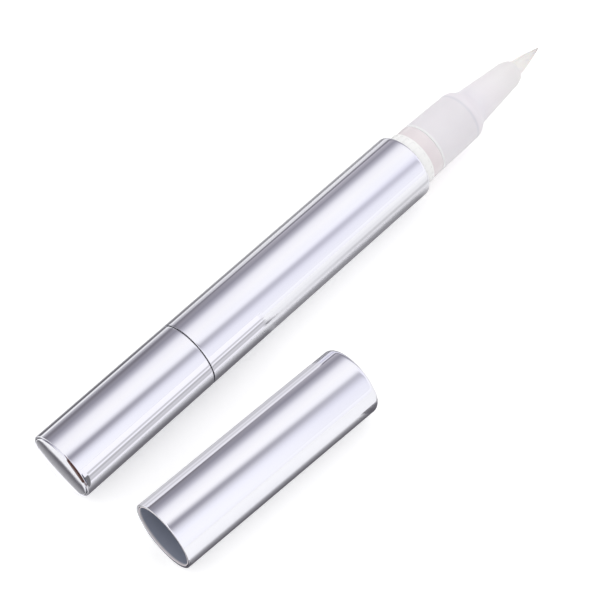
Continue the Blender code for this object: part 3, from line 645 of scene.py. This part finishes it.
def ring(station, radius):
    """Finds the ring of edges at a station and a radius."""
    def test(edge):
        return all(
            abs(vert.co.x - station) < NEAR
            and abs(math.hypot(vert.co.y, vert.co.z) - radius) < NEAR
            for vert in edge.verts
        )
    return test


def reach(piece, *places):
    """Extrudes the picked end face from place to place, each a station and a radius."""
    for station, radius in places:
        shape = bmesh.from_edit_mesh(piece.data)
        edge = next(vert.co.copy() for vert in shape.verts if vert.select)
        growth = radius / math.hypot(edge.y, edge.z)
        bpy.ops.mesh.extrude_region_move(TRANSFORM_OT_translate={"value": (station - edge.x, 0, 0)})
        bpy.ops.transform.resize(value=(1, growth, growth), center_override=(station, 0, 0))


def round_edge(piece, station, radius, width, steps=4):
    """Rounds the edge at a station and a radius."""
    if not pick(piece, "EDGE", ring(station, radius)):
        raise ValueError(f"{piece.name} has no edge at {station / MM:.2f}, {radius / MM:.2f}")
    bpy.ops.mesh.bevel(offset=width, segments=steps, affect="EDGES")


def join_ends(piece, *stations):
    """Opens a bore between the two end faces at these stations."""
    if pick(piece, "FACE", end_face(*stations)) != 2:
        raise ValueError(f"{piece.name} needs two end faces to join")
    bpy.ops.mesh.bridge_edge_loops()


def cut_rings(piece, *stations):
    """Cuts a ring of edges at each station, which keeps the shading of a long wall straight."""
    for station in stations:
        bpy.ops.mesh.select_all(action="SELECT")
        bpy.ops.mesh.bisect(plane_co=(station, 0, 0), plane_no=(1, 0, 0))


# %% Finishing a piece
CRISP_ANGLE = math.radians(32)
WELD = 0.0005 * MM


def finish_piece(piece, material, body, node):
    """Welds, turns the faces outwards, shades, dresses and hands a piece to its body."""
    if piece.mode != "EDIT":
        bpy.ops.object.mode_set(mode="EDIT")
    bpy.ops.mesh.select_all(action="SELECT")
    bpy.ops.mesh.remove_doubles(threshold=WELD)
    bpy.ops.mesh.normals_make_consistent(inside=False)
    bpy.ops.object.mode_set(mode="OBJECT")
    bpy.ops.object.transform_apply(location=True, rotation=True, scale=True)
    bpy.ops.object.shade_smooth_by_angle(angle=CRISP_ANGLE)
    piece.data.materials.clear()
    piece.data.materials.append(material)
    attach(piece, body)
    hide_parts(node)
    shape = bmesh.new()
    shape.from_mesh(piece.data)
    loose = sum(1 for edge in shape.edges if len(edge.link_faces) != 2)
    print(f"{piece.name}: {len(shape.faces)} faces, open or crossed edges: {loose}")
    shape.free()


# %% [markdown]
# The sleeves, the end plug and the cap share one finish: aluminium, polished and clear-anodised,
# with a faint lavender tint. It is a mirror, but drawn through a die, so its roughness and its
# surface vary a little in fine streaks along the tube.

# %% Polished metal
METAL_COLOUR = (0.86, 0.86, 0.905)
METAL_SHADE = (0.83, 0.83, 0.885)
CLOUD_TINT = (0.95, 0.945, 0.955, 1)
# Most of a noise lies in the middle of its span from 0 to 1, so only the middle is spread.
COLOUR_SPAN = (0.35, 0.65)
VALUE_SPAN = (0.3, 0.7)


def start_finish(name, **constants):
    """A Principled material; constants go straight on the shader's own sockets."""
    material = bpy.data.materials.new(name)
    material.use_nodes = True
    shader = material.node_tree.nodes["Principled BSDF"]
    for socket, value in constants.items():
        shader.inputs[socket.replace("_", " ")].default_value = value
    return material, material.node_tree, shader


def grain(tree, scale, detail=3.0, stretch=(1, 1, 1), turn=0.0):
    """Noise on Object coordinates; stretch below 1 along an axis draws it out that way."""
    turned = add_node(tree, "ShaderNodeMapping", Rotation=(0, 0, -turn))
    stretched = add_node(tree, "ShaderNodeMapping", Scale=stretch)
    noise = add_node(tree, "ShaderNodeTexNoise", Scale=scale, Detail=detail)
    tree.links.new(own_place(tree), turned.inputs["Vector"])
    tree.links.new(turned.outputs[0], stretched.inputs["Vector"])
    tree.links.new(stretched.outputs[0], noise.inputs["Vector"])
    return noise.outputs["Fac"]


def colour_between(tree, share, low, high, target):
    """Leads a colour that moves between two values with a noise into a socket."""
    ramp = colour_ramp(tree, share, zip(COLOUR_SPAN, (low, high)))
    tree.links.new(ramp["Color"], target)


def value_between(tree, share, low, high, target):
    """Leads a value that moves between two limits with a noise into a socket."""
    tree.links.new(map_range(tree, share, *VALUE_SPAN, low, high), target)


def colour_along(tree, rear, front, stops, share, target):
    """Leads a colour that changes along the pen, a little cloudy, into a socket."""
    station = split(tree, own_place(tree))["X"]
    shares = [((place - rear) / (front - rear), colour) for place, colour in stops]
    ramp = colour_ramp(tree, map_range(tree, station, rear, front), shares)
    cloud = add_node(tree, "ShaderNodeMix", data_type="RGBA", blend_type="MULTIPLY")
    plain, tint, clouded = cloud.inputs[6], cloud.inputs[7], cloud.outputs[2]
    tint.default_value = CLOUD_TINT
    tree.links.new(ramp["Color"], plain)
    tree.links.new(share, cloud.inputs[0])
    tree.links.new(clouded, target)


def bumped(tree, shader, height, distance, strength):
    """A fine relief from a noise."""
    bump = add_node(tree, "ShaderNodeBump", Distance=distance, Strength=strength)
    tree.links.new(height, bump.inputs["Height"])
    tree.links.new(bump.outputs[0], shader.inputs["Normal"])


def polished_metal(name, yaw=0.0):
    """A mirror with fine streaks along its tube, which may lie turned."""
    material, tree, shader = start_finish(name, Metallic=1.0)
    streaks = grain(tree, 900, 4, (0.02, 1, 1), yaw)
    clouds = grain(tree, 120, 2, (0.3, 1, 1), yaw)
    colour_between(tree, clouds, METAL_SHADE, METAL_COLOUR, shader.inputs["Base Color"])
    value_between(tree, streaks, 0.05, 0.09, shader.inputs["Roughness"])
    bumped(tree, shader, streaks, distance=0.002 * MM, strength=0.15)
    return material


# %% [markdown]
# The knob's sleeve is a short length of thin tube, cut square. A bar with both ends inset and
# bridged gives the tube's wall, and its rims get a small round, so that each shows a bright line.
# A thin dark brown line on one side of the seam round the plug is painted shade.

# %% Knob sleeve
SLEEVE_WALL = 0.35 * MM
RIM_ROUND = 0.09 * MM
RING_SETBACK = 0.35 * MM
# A dark brown painted shade in the seam round the plug, on one side only.
SEAM_SHADE_COLOUR = (0.10, 0.04, 0.035)
SEAM_SHADE_SIDE = (0, -0.735, 0.678)
SEAM_SHADE_EDGE = 5.0 * MM
SEAM_SHADE_FADE = 0.08 * MM
SEAM_SHADE_DEPTH = 0.3 * MM


def metal_with_seam_shade(name):
    """Polished metal with painted shade, dark brown, near the rear edge on the side that faces the
    cap.
    """
    material = polished_metal(name)
    tree = material.node_tree
    shader = tree.nodes["Principled BSDF"]
    place = own_place(tree)
    side = add_node(tree, "ShaderNodeVectorMath", operation="DOT_PRODUCT")
    side.inputs[1].default_value = SEAM_SHADE_SIDE
    tree.links.new(place, side.inputs[0])
    edge = map_range(tree, side.outputs["Value"], SEAM_SHADE_EDGE, SEAM_SHADE_EDGE + SEAM_SHADE_FADE)
    rear = compute(tree, "LESS_THAN", split(tree, place)["X"], SEAM_SHADE_DEPTH)
    seam_shade_share = compute(tree, "MULTIPLY", edge, rear)
    mix = add_node(tree, "ShaderNodeMix", data_type="RGBA")
    metal, shaded_colour, mixed = mix.inputs[6], mix.inputs[7], mix.outputs[2]
    shaded_colour.default_value = (*SEAM_SHADE_COLOUR, 1)
    tree.links.new(shader.inputs["Base Color"].links[0].from_socket, metal)
    tree.links.new(seam_shade_share, mix.inputs[0])
    tree.links.new(mixed, shader.inputs["Base Color"])
    tree.links.new(compute(tree, "SUBTRACT", 1, seam_shade_share), shader.inputs["Metallic"])
    return material


knob_rear = knob_low.x
knob_sleeve = add_bar("knob_sleeve_polished", pen_radius, knob_rear, knob_high.x)
sleeve_bore = pen_radius - SLEEVE_WALL
pick(knob_sleeve, "FACE", end_face(knob_rear))
reach(knob_sleeve, (knob_rear, sleeve_bore))
pick(knob_sleeve, "FACE", end_face(knob_high.x))
reach(knob_sleeve, (knob_high.x, sleeve_bore))
join_ends(knob_sleeve, knob_rear, knob_high.x)
for station in (knob_rear, knob_high.x):
    round_edge(knob_sleeve, station, pen_radius, RIM_ROUND)
    round_edge(knob_sleeve, station, sleeve_bore, RIM_ROUND / 2, 2)
cut_rings(knob_sleeve, knob_rear + RING_SETBACK, knob_high.x - RING_SETBACK)
finish_piece(
    knob_sleeve, metal_with_seam_shade("knob_metal"), "knob", "knob_sleeve",
)

# %% [markdown]
# A metallised plug closes the knob's rear. It is a shallow cup: its face is a little crowned, with
# a flat middle that the pen can stand on, and its edge is round. The crown is drawn in rings.

# %% End plug
PLUG_WALL = 0.9 * MM
PLUG_CROWN = 0.04 * MM
PLUG_EDGE = 0.15 * MM
PLUG_FLAT = 2.6 * MM
CROWN_RINGS = 8

plug_radius = plug_high.z
crown_rim = plug_radius - PLUG_EDGE
end_plug = add_bar("end_plug_polished", plug_radius, PLUG_CROWN, plug_high.x)
pick(end_plug, "FACE", end_face(plug_high.x))
reach(end_plug, (plug_high.x, plug_radius - PLUG_WALL), (PLUG_WALL, plug_radius - PLUG_WALL))
round_edge(end_plug, PLUG_CROWN, plug_radius, PLUG_EDGE, 6)
pick(end_plug, "FACE", end_face(PLUG_CROWN))
crown = []
for step in range(1, CROWN_RINGS + 1):
    left = 1 - step / CROWN_RINGS
    crown.append((PLUG_CROWN * left ** 2, PLUG_FLAT + (crown_rim - PLUG_FLAT) * left))
reach(end_plug, *crown)
finish_piece(end_plug, metal_with_seam_shade("plug_metal"), "knob", "end_plug")

# %% [markdown]
# The barrel's sleeve is the same tube, but its front edge is rolled inwards over the reservoir's
# shoulder and holds it. The roll is a wide bevel on the outside, and its lip hides the tube's bore.

# %% Barrel sleeve
ROLL = 0.6 * MM
LIP_WIDTH = 0.85 * MM

barrel_rear, barrel_front = barrel_low.x, barrel_high.x
lip_radius = pen_radius - LIP_WIDTH
lip_rear = barrel_front - SLEEVE_WALL
barrel_sleeve = add_bar("barrel_sleeve_polished", pen_radius, barrel_rear, barrel_front)
pick(barrel_sleeve, "FACE", end_face(barrel_front))
reach(
    barrel_sleeve,
    (barrel_front, lip_radius),
    (lip_rear, lip_radius),
    (lip_rear, pen_radius - ROLL),
    (lip_rear - ROLL + SLEEVE_WALL, sleeve_bore),
)
pick(barrel_sleeve, "FACE", end_face(barrel_rear))
reach(barrel_sleeve, (barrel_rear, sleeve_bore))
join_ends(barrel_sleeve, barrel_rear, lip_rear - ROLL + SLEEVE_WALL)
round_edge(barrel_sleeve, barrel_front, pen_radius, ROLL, 8)
round_edge(barrel_sleeve, barrel_front, lip_radius, RIM_ROUND, 3)
round_edge(barrel_sleeve, barrel_rear, pen_radius, RIM_ROUND)
cut_rings(barrel_sleeve, barrel_rear + RING_SETBACK, barrel_front - ROLL - RING_SETBACK)
finish_piece(
    barrel_sleeve, polished_metal("barrel_metal"), "barrel", "barrel_sleeve",
)

# %% [markdown]
# The cap is a cup drawn from one disc of metal, so its closed end has a small round corner. A bar's
# end edge is bevelled for the corner, and its mouth is inset and extruded inwards for the bore. The
# cap is modelled along the pen, then turned and moved to where it lies.

# %% Cap sleeve
CAP_CORNER = 0.95 * MM


def lay_down_cap(piece):
    """Turns and moves a piece that was modelled along the pen to where the cap lies."""
    free_hands()
    piece.select_set(True)
    bpy.context.view_layer.objects.active = piece
    piece.rotation_euler = (0, 0, cap_yaw)
    piece.location = cap_mouth
    bpy.ops.object.transform_apply(location=True, rotation=True, scale=True)


cap_sleeve = add_bar("cap_sleeve_polished", cap_radius, 0, cap_length)
cap_bore = cap_radius - SLEEVE_WALL
cap_floor = cap_length - SLEEVE_WALL
pick(cap_sleeve, "FACE", end_face(0))
reach(cap_sleeve, (0, cap_bore), (cap_floor, cap_bore))
round_edge(cap_sleeve, cap_floor, cap_bore, CAP_CORNER - SLEEVE_WALL, 6)
round_edge(cap_sleeve, cap_length, cap_radius, CAP_CORNER, 12)
round_edge(cap_sleeve, 0, cap_radius, RIM_ROUND)
round_edge(cap_sleeve, 0, cap_bore, RIM_ROUND / 2, 2)
cut_rings(cap_sleeve, RING_SETBACK, cap_length - CAP_CORNER - RING_SETBACK)
lay_down_cap(cap_sleeve)
finish_piece(
    cap_sleeve, polished_metal("cap_metal", cap_yaw), "cap", "cap_sleeve",
)

# %% [markdown]
# Inside the cap sits a thin plastic cup. Its lip shows as a pale ring in the mouth, and the bore
# behind it, which lies in shade, is painted a dull blue grey, so the colour changes with the depth.

# %% Cap liner
PRESS_GAP = 0.1 * MM
LINER_WALL = 0.45 * MM
LINER_LIP = 0.1 * MM
LINER_RECESS = 0.03 * MM
LINER_LEAD = 3.0 * MM
LINER_DEPTH_GAP = 0.25 * MM
LIP_COLOUR = (0.86, 0.80, 0.82)
LIP_SHARE = 0.03
# Painted shade of the bore deep inside the cup.
DEEP_SHADE = (0.24, 0.26, 0.33)
DEEP_SHARE = 0.14


def liner_plastic():
    """Satin plastic, pale at the lip and painted a shaded blue grey deep inside."""
    material, tree, shader = start_finish("liner_plastic", Roughness=0.45)
    depth = add_node(
        tree, "ShaderNodeMapping", vector_type="TEXTURE",
        Location=cap_mouth, Rotation=(0, 0, cap_yaw),
    )
    tree.links.new(own_place(tree), depth.inputs["Vector"])
    share = map_range(tree, split(tree, depth.outputs[0])["X"], 0, LINER_LEAD)
    ramp = colour_ramp(
        tree, share, [(LIP_SHARE, LIP_COLOUR), (DEEP_SHARE, DEEP_SHADE), (1, DEEP_SHADE)],
    )
    tree.links.new(ramp["Color"], shader.inputs["Base Color"])
    bumped(tree, shader, grain(tree, 2500, 2), distance=0.003 * MM, strength=0.2)
    return material


liner_radius = cap_bore - PRESS_GAP
liner_bore = liner_radius - LINER_WALL
liner_front = cap_floor - LINER_DEPTH_GAP
liner_corner = CAP_CORNER - SLEEVE_WALL
cap_liner = add_bar("cap_liner_cup", liner_radius, LINER_RECESS, liner_front)
pick(cap_liner, "FACE", end_face(LINER_RECESS))
reach(
    cap_liner,
    (LINER_RECESS, liner_radius - LINER_LIP),
    (LINER_RECESS + LINER_LEAD, liner_bore),
    (liner_front - LINER_WALL, liner_bore),
)
round_edge(cap_liner, liner_front, liner_radius, liner_corner, 4)
round_edge(cap_liner, liner_front - LINER_WALL, liner_bore, liner_corner, 4)
lay_down_cap(cap_liner)
finish_piece(cap_liner, liner_plastic(), "cap", "cap_liner")

# %% [markdown]
# The reservoir is a clear moulded tube. Only its neck shows, between the rolled lip and the brush
# holder: a band of moulded ribs, painted white for their highlights, and a smooth band with a faint
# pink cast. Grooves pushed into every other group of faces round the band leave the ribs between
# them.

# %% Clear reservoir
RESERVOIR_WALL = 1.1 * MM
END_GAP = 0.25 * MM
SHOULDER = 1.2 * MM
LIP_CLEARANCE = 0.15 * MM
RIB_BAND = 2.05 * MM
RIB_STEP = 0.15 * MM
SMOOTH_BAND = 2.5 * MM
SPIGOT_STEP = 1.05 * MM
SPIGOT_WALL = 1.0 * MM
RIB_COUNT = 24
GROOVE_DEPTH = 0.07 * MM
GROOVE_STOP = 0.35 * MM
GROOVE_REACH = 0.05 * MM
GROOVE_SHARE = 0.5
SIDEWAYS = 0.1
# A painted highlight: the ribs are coloured white for their glints.
RIB_HIGHLIGHT_WHITE = (1, 1, 0.99)
TINT_FADE = 0.1 * MM

outer = reservoir_high.z
bore = outer - RESERVOIR_WALL
shoulder_front = lip_rear - END_GAP
band_radius = lip_radius - LIP_CLEARANCE
neck_radius = band_radius - RIB_STEP
rib_front = barrel_front + RIB_BAND
band_front = rib_front + SMOOTH_BAND
spigot_radius = neck_radius - SPIGOT_STEP


def clear_plastic():
    """Glossy milky plastic, with painted highlight white on the ribs and a faint pink on the smooth
    band.
    """
    material, tree, shader = start_finish("clear_plastic", Transmission_Weight=0.05, IOR=1.49)
    clouds = grain(tree, 300, 2)
    colour_along(
        tree, barrel_front, band_front,
        [
            (barrel_front, RIB_HIGHLIGHT_WHITE), (rib_front - TINT_FADE, RIB_HIGHLIGHT_WHITE),
            (rib_front + TINT_FADE, (0.84, 0.77, 0.79)), (band_front, (0.86, 0.80, 0.82)),
        ],
        clouds, shader.inputs["Base Color"],
    )
    value_between(tree, clouds, 0.1, 0.16, shader.inputs["Roughness"])
    bumped(tree, shader, clouds, distance=0.02 * MM, strength=0.1)
    return material


reservoir = add_bar("reservoir_clear", outer, reservoir_low.x, shoulder_front - ROLL)
pick(reservoir, "FACE", end_face(shoulder_front - ROLL))
reach(
    reservoir,
    (shoulder_front, pen_radius - ROLL - PRESS_GAP),
    (shoulder_front, band_radius),
    (barrel_front, band_radius),
    (rib_front - GROOVE_STOP, band_radius),
    (rib_front, band_radius),
    (rib_front, neck_radius),
    (band_front, neck_radius),
    (band_front, spigot_radius),
    (reservoir_high.x, spigot_radius),
    (reservoir_high.x, spigot_radius - SPIGOT_WALL),
    (shoulder_front - SHOULDER, spigot_radius - SPIGOT_WALL),
    (shoulder_front - SHOULDER, bore),
)
pick(reservoir, "FACE", end_face(reservoir_low.x))
reach(reservoir, (reservoir_low.x, bore))
join_ends(reservoir, reservoir_low.x, shoulder_front - SHOULDER)


def in_groove(face):
    """True for the faces of the ribbed band that lie between two ribs."""
    middle = face.calc_center_median()
    on_band = shoulder_front < middle.x < rib_front - GROOVE_STOP
    on_wall = abs(face.normal.x) < SIDEWAYS
    outside = abs(math.hypot(middle.y, middle.z) - band_radius) < GROOVE_REACH
    turn = (math.atan2(middle.z, middle.y) / math.tau * RIB_COUNT) % 1
    return on_band and on_wall and outside and turn < GROOVE_SHARE


print("faces in the grooves:", pick(reservoir, "FACE", in_groove))
bpy.ops.mesh.extrude_region_shrink_fatten(TRANSFORM_OT_shrink_fatten={"value": -GROOVE_DEPTH})
round_edge(reservoir, band_front, neck_radius, RIM_ROUND, 3)
finish_piece(reservoir, clear_plastic(), "barrel", "reservoir")

# %% [markdown]
# The brush holder is moulded in frosted plastic: a collar that is pushed over the reservoir's
# spigot, a soft shoulder and a slim cone. Light sinks in a little, so it has no hard shadow.

# %% Frosted brush holder
COLLAR_LENGTH = 10.3 * MM
COLLAR_TAPER = 0.2 * MM
COLLAR_WALL = 1.1 * MM
SHOULDER_LENGTH = 1.8 * MM
CONE_REAR_RADIUS = 3.5 * MM
CONE_LENGTH = 10.75 * MM
CONE_FRONT_RADIUS = 2.45 * MM
TIP_RADIUS = 2.025 * MM
TIP_HOLE = 1.75 * MM
INSERT_BORE = 1.95 * MM
RUNNING_GAP = 0.15 * MM
COLLAR_ROUND = 0.55 * MM
COLLAR_REAR_ROUND = 0.15 * MM
RING_PLACE = 0.6 * MM
SHOULDER_ROUND = 0.5 * MM
CONE_ROUND = 0.4 * MM
TIP_ROUND = 0.1 * MM
RIM_LIGHT = 0.3 * MM
RIM_FADE = 0.2 * MM
BAND_PLACE = 1.1 * MM
BAND_FADE = 0.4 * MM
CONE_FADE = 3 * MM
# Painted highlight on the collar's rear rim, where a thin bright arc shows.
RIM_HIGHLIGHT = (0.97, 0.96, 0.98)
COLLAR_TONE = (0.84, 0.80, 0.845)
# Painted shade in a band near the collar's front, where the collar's inside ends.
BAND_SHADE = (0.74, 0.72, 0.78)


def frosted_plastic():
    """Satin translucent plastic, lavender grey on the collar and pinker on the cone.

    A painted highlight brightens the collar's rear rim, and painted shade darkens a band near its
    front.
    """
    material, tree, shader = start_finish(
        "frosted_plastic", Roughness=0.42, Subsurface_Weight=0.5, Subsurface_Scale=2 * MM,
        Subsurface_Radius=(1, 0.9, 0.95),
    )
    band = collar_front - BAND_PLACE
    colour_along(
        tree, collar_rear, holder_high.x,
        [
            (collar_rear, RIM_HIGHLIGHT), (collar_rear + RIM_LIGHT, RIM_HIGHLIGHT),
            (collar_rear + RIM_LIGHT + RIM_FADE, COLLAR_TONE), (band - BAND_FADE, COLLAR_TONE),
            (band, BAND_SHADE), (band + BAND_FADE, COLLAR_TONE),
            (cone_rear, (0.84, 0.81, 0.86)), (cone_rear + CONE_FADE, (0.87, 0.83, 0.865)),
            (holder_high.x, (0.93, 0.88, 0.89)),
        ],
        grain(tree, 250, 2), shader.inputs["Base Color"],
    )
    bumped(tree, shader, grain(tree, 3000, 3), distance=0.006 * MM, strength=0.25)
    return material


collar_rear = holder_low.x
collar_front = collar_rear + COLLAR_LENGTH
collar_inside = collar_front - COLLAR_WALL
collar_bore = spigot_radius + RUNNING_GAP
cone_rear = collar_front + SHOULDER_LENGTH
cone_front = cone_rear + CONE_LENGTH
collar_radius = holder_high.z
holder = add_bar("brush_holder_frosted", collar_radius, collar_rear, collar_front)
pick(holder, "FACE", end_face(collar_front))
shrink = (collar_radius - COLLAR_TAPER) / collar_radius
bpy.ops.transform.resize(value=(1, shrink, shrink), center_override=(collar_front, 0, 0))
reach(
    holder,
    (cone_rear, CONE_REAR_RADIUS),
    (cone_front, CONE_FRONT_RADIUS),
    (holder_high.x, TIP_RADIUS),
    (holder_high.x, TIP_HOLE),
    (cone_front, TIP_HOLE),
    (cone_front, INSERT_BORE),
    (collar_inside, INSERT_BORE),
    (collar_inside, collar_bore),
)
pick(holder, "FACE", end_face(collar_rear))
reach(holder, (collar_rear, collar_bore))
join_ends(holder, collar_rear, collar_inside)
round_edge(holder, collar_front, collar_radius - COLLAR_TAPER, COLLAR_ROUND, 6)
round_edge(holder, cone_rear, CONE_REAR_RADIUS, SHOULDER_ROUND, 5)
round_edge(holder, cone_front, CONE_FRONT_RADIUS, CONE_ROUND, 5)
round_edge(holder, holder_high.x, TIP_RADIUS, TIP_ROUND, 3)
round_edge(holder, collar_rear, collar_radius, COLLAR_REAR_ROUND, 4)
cut_rings(holder, collar_rear + RING_PLACE, (cone_rear + cone_front) / 2)
finish_piece(holder, frosted_plastic(), "barrel", "brush_holder")

# %% [markdown]
# The brush is a bundle of fine filaments, drawn to a point. One filament is modelled as a thin bar
# with rings along it and copied over a disc in a sunflower's order, which spaces them evenly. Then
# the whole bundle is drawn in, ring after ring, as a wet brush is drawn to a point by its gel.

# %% One filament
STRAND_COUNT = 900
STRAND_SIDES = 5
STRAND_RINGS = 7
BACKING = 0.5 * MM
BACKING_SEGMENTS = 48
STRAND_RADIUS = 0.055 * MM
STRAND_TAPER = 0.5
SHORTER_OUTSIDE = 0.04
LENGTH_SPREAD = 0.03
GOLDEN_ANGLE = math.pi * (3 - math.sqrt(5))

bristle_radius = bristle_high.z
bristle_root = bristle_low.x + BACKING
bristle_reach = bristle_high.x - bristle_root

strand = add_bar("bristles_bundle", STRAND_RADIUS, 0, bristle_reach / STRAND_RINGS, STRAND_SIDES)
pick(strand, "FACE", end_face(bristle_reach / STRAND_RINGS))
for step in range(2, STRAND_RINGS + 1):
    slim = STRAND_RADIUS * (1 - STRAND_TAPER * (step / STRAND_RINGS) ** 2)
    reach(strand, (bristle_reach * step / STRAND_RINGS, slim))
bpy.ops.object.mode_set(mode="OBJECT")
print("faces on a filament:", len(strand.data.polygons))

# %% The bundle
random.seed(7)
copies = []
for number in range(1, STRAND_COUNT):
    away = math.sqrt((number + 0.5) / STRAND_COUNT)
    turn = number * GOLDEN_ANGLE
    copy = strand.copy()
    copy.data = strand.data.copy()
    bpy.context.scene.collection.objects.link(copy)
    length = 1 - SHORTER_OUTSIDE * away - LENGTH_SPREAD * random.random()
    spread = (bristle_radius - STRAND_RADIUS) * away
    copy.location = (bristle_root, spread * math.cos(turn), spread * math.sin(turn))
    copy.rotation_euler = (turn, 0, 0)
    copy.scale = (length, 1, 1)
    copies.append(copy)
strand.location = (bristle_root, 0, 0)

free_hands()
for piece in (*copies, strand):
    piece.select_set(True)
bpy.context.view_layer.objects.active = strand
bpy.ops.object.transform_apply(location=True, rotation=True, scale=True)
bpy.ops.object.join()
print("faces in the bundle:", len(strand.data.polygons))

# %% [markdown]
# Drawing the bundle in is one scale per slice: a slice takes all points between two stations, and
# a smaller and smaller share of the root's width is left towards the tip.

# %% Drawn to a point
SLICES = 28
DRAW_POWER = 1.4
POINT_SHARE = 0.06

bpy.ops.object.mode_set(mode="EDIT")
bpy.ops.mesh.select_mode(type="VERT")
for step in range(1, SLICES + 1):
    low = bristle_root + bristle_reach * (step - 0.5) / SLICES
    high = bristle_root + bristle_reach * (step + 0.5) / SLICES
    along = step / SLICES
    width = max(1 - along ** DRAW_POWER, POINT_SHARE)
    shape = bmesh.from_edit_mesh(strand.data)
    for vert in shape.verts:
        vert.select = low < vert.co.x <= high
    shape.select_flush_mode()
    bmesh.update_edit_mesh(strand.data)
    if any(vert.select for vert in shape.verts):
        bpy.ops.transform.resize(value=(1, width, width), center_override=(low, 0, 0))


def bristle_fibre():
    """Fine matt filaments, cream to pale pink in fine streaks along them."""
    material, tree, shader = start_finish(
        "bristle_fibre", Roughness=0.5, Subsurface_Weight=0.15, Subsurface_Scale=0.3 * MM,
    )
    streaks = grain(tree, 2500, 3, (0.05, 1, 1))
    colour_between(tree, streaks, (0.98, 0.92, 0.90), (1, 0.96, 0.94), shader.inputs["Base Color"])
    return material


bpy.ops.object.mode_set(mode="OBJECT")
backing = add_bar(
    "bristle_backing", bristle_radius, bristle_low.x, bristle_root, BACKING_SEGMENTS,
)
bpy.ops.object.mode_set(mode="OBJECT")
free_hands()
backing.select_set(True)
strand.select_set(True)
bpy.context.view_layer.objects.active = strand
bpy.ops.object.join()
bpy.ops.object.mode_set(mode="EDIT")
finish_piece(strand, bristle_fibre(), "barrel", "bristles")

# %% [markdown]
# The mechanism stays as the frame made it, because no one sees more of it than a shadow. Each part
# still gets a finish of its own: moulded plastic, bright spring wire or rubber.

# %% Hidden parts
def moulded_plastic(name):
    """Satin plastic as it leaves the mould."""
    material, tree, shader = start_finish(name)
    colour_between(
        tree, grain(tree, 400), (0.82, 0.82, 0.84), (0.88, 0.88, 0.89), shader.inputs["Base Color"],
    )
    value_between(tree, grain(tree, 900), 0.34, 0.46, shader.inputs["Roughness"])
    bumped(tree, shader, grain(tree, 2500, 2), distance=0.004 * MM, strength=0.2)
    return material


def spring_steel(name):
    """Bright drawn wire."""
    material, tree, shader = start_finish(name, Metallic=1.0)
    colour_between(
        tree, grain(tree, 900), (0.55, 0.55, 0.57), (0.66, 0.66, 0.68), shader.inputs["Base Color"],
    )
    value_between(tree, grain(tree, 1800), 0.22, 0.36, shader.inputs["Roughness"])
    return material


def soft_rubber(name):
    """Dark matt rubber."""
    material, tree, shader = start_finish(name)
    colour_between(
        tree, grain(tree, 700), (0.20, 0.20, 0.22), (0.28, 0.28, 0.30), shader.inputs["Base Color"],
    )
    value_between(tree, grain(tree, 1500), 0.6, 0.8, shader.inputs["Roughness"])
    bumped(tree, shader, grain(tree, 2500, 2), distance=0.006 * MM, strength=0.3)
    return material


HIDDEN_PARTS = {
    moulded_plastic: [
        "knob_core", "click_wheel", "ratchet_crown", "lead_nut", "lead_screw", "piston",
        "bristle_plug", "feed_tube",
    ],
    spring_steel: ["click_spring", "retaining_ring"],
    soft_rubber: ["drag_ring", "holder_seal"],
}

for finish, names in HIDDEN_PARTS.items():
    for name in names:
        frame["nodes"][name].data.materials.clear()
        frame["nodes"][name].data.materials.append(finish(f"{name}_{finish.__name__}"))
    print(finish.__name__, "on", len(names), "parts")

# %% [markdown]
# Last, edit mode is left and nothing stays selected.

# %% The end
free_hands()
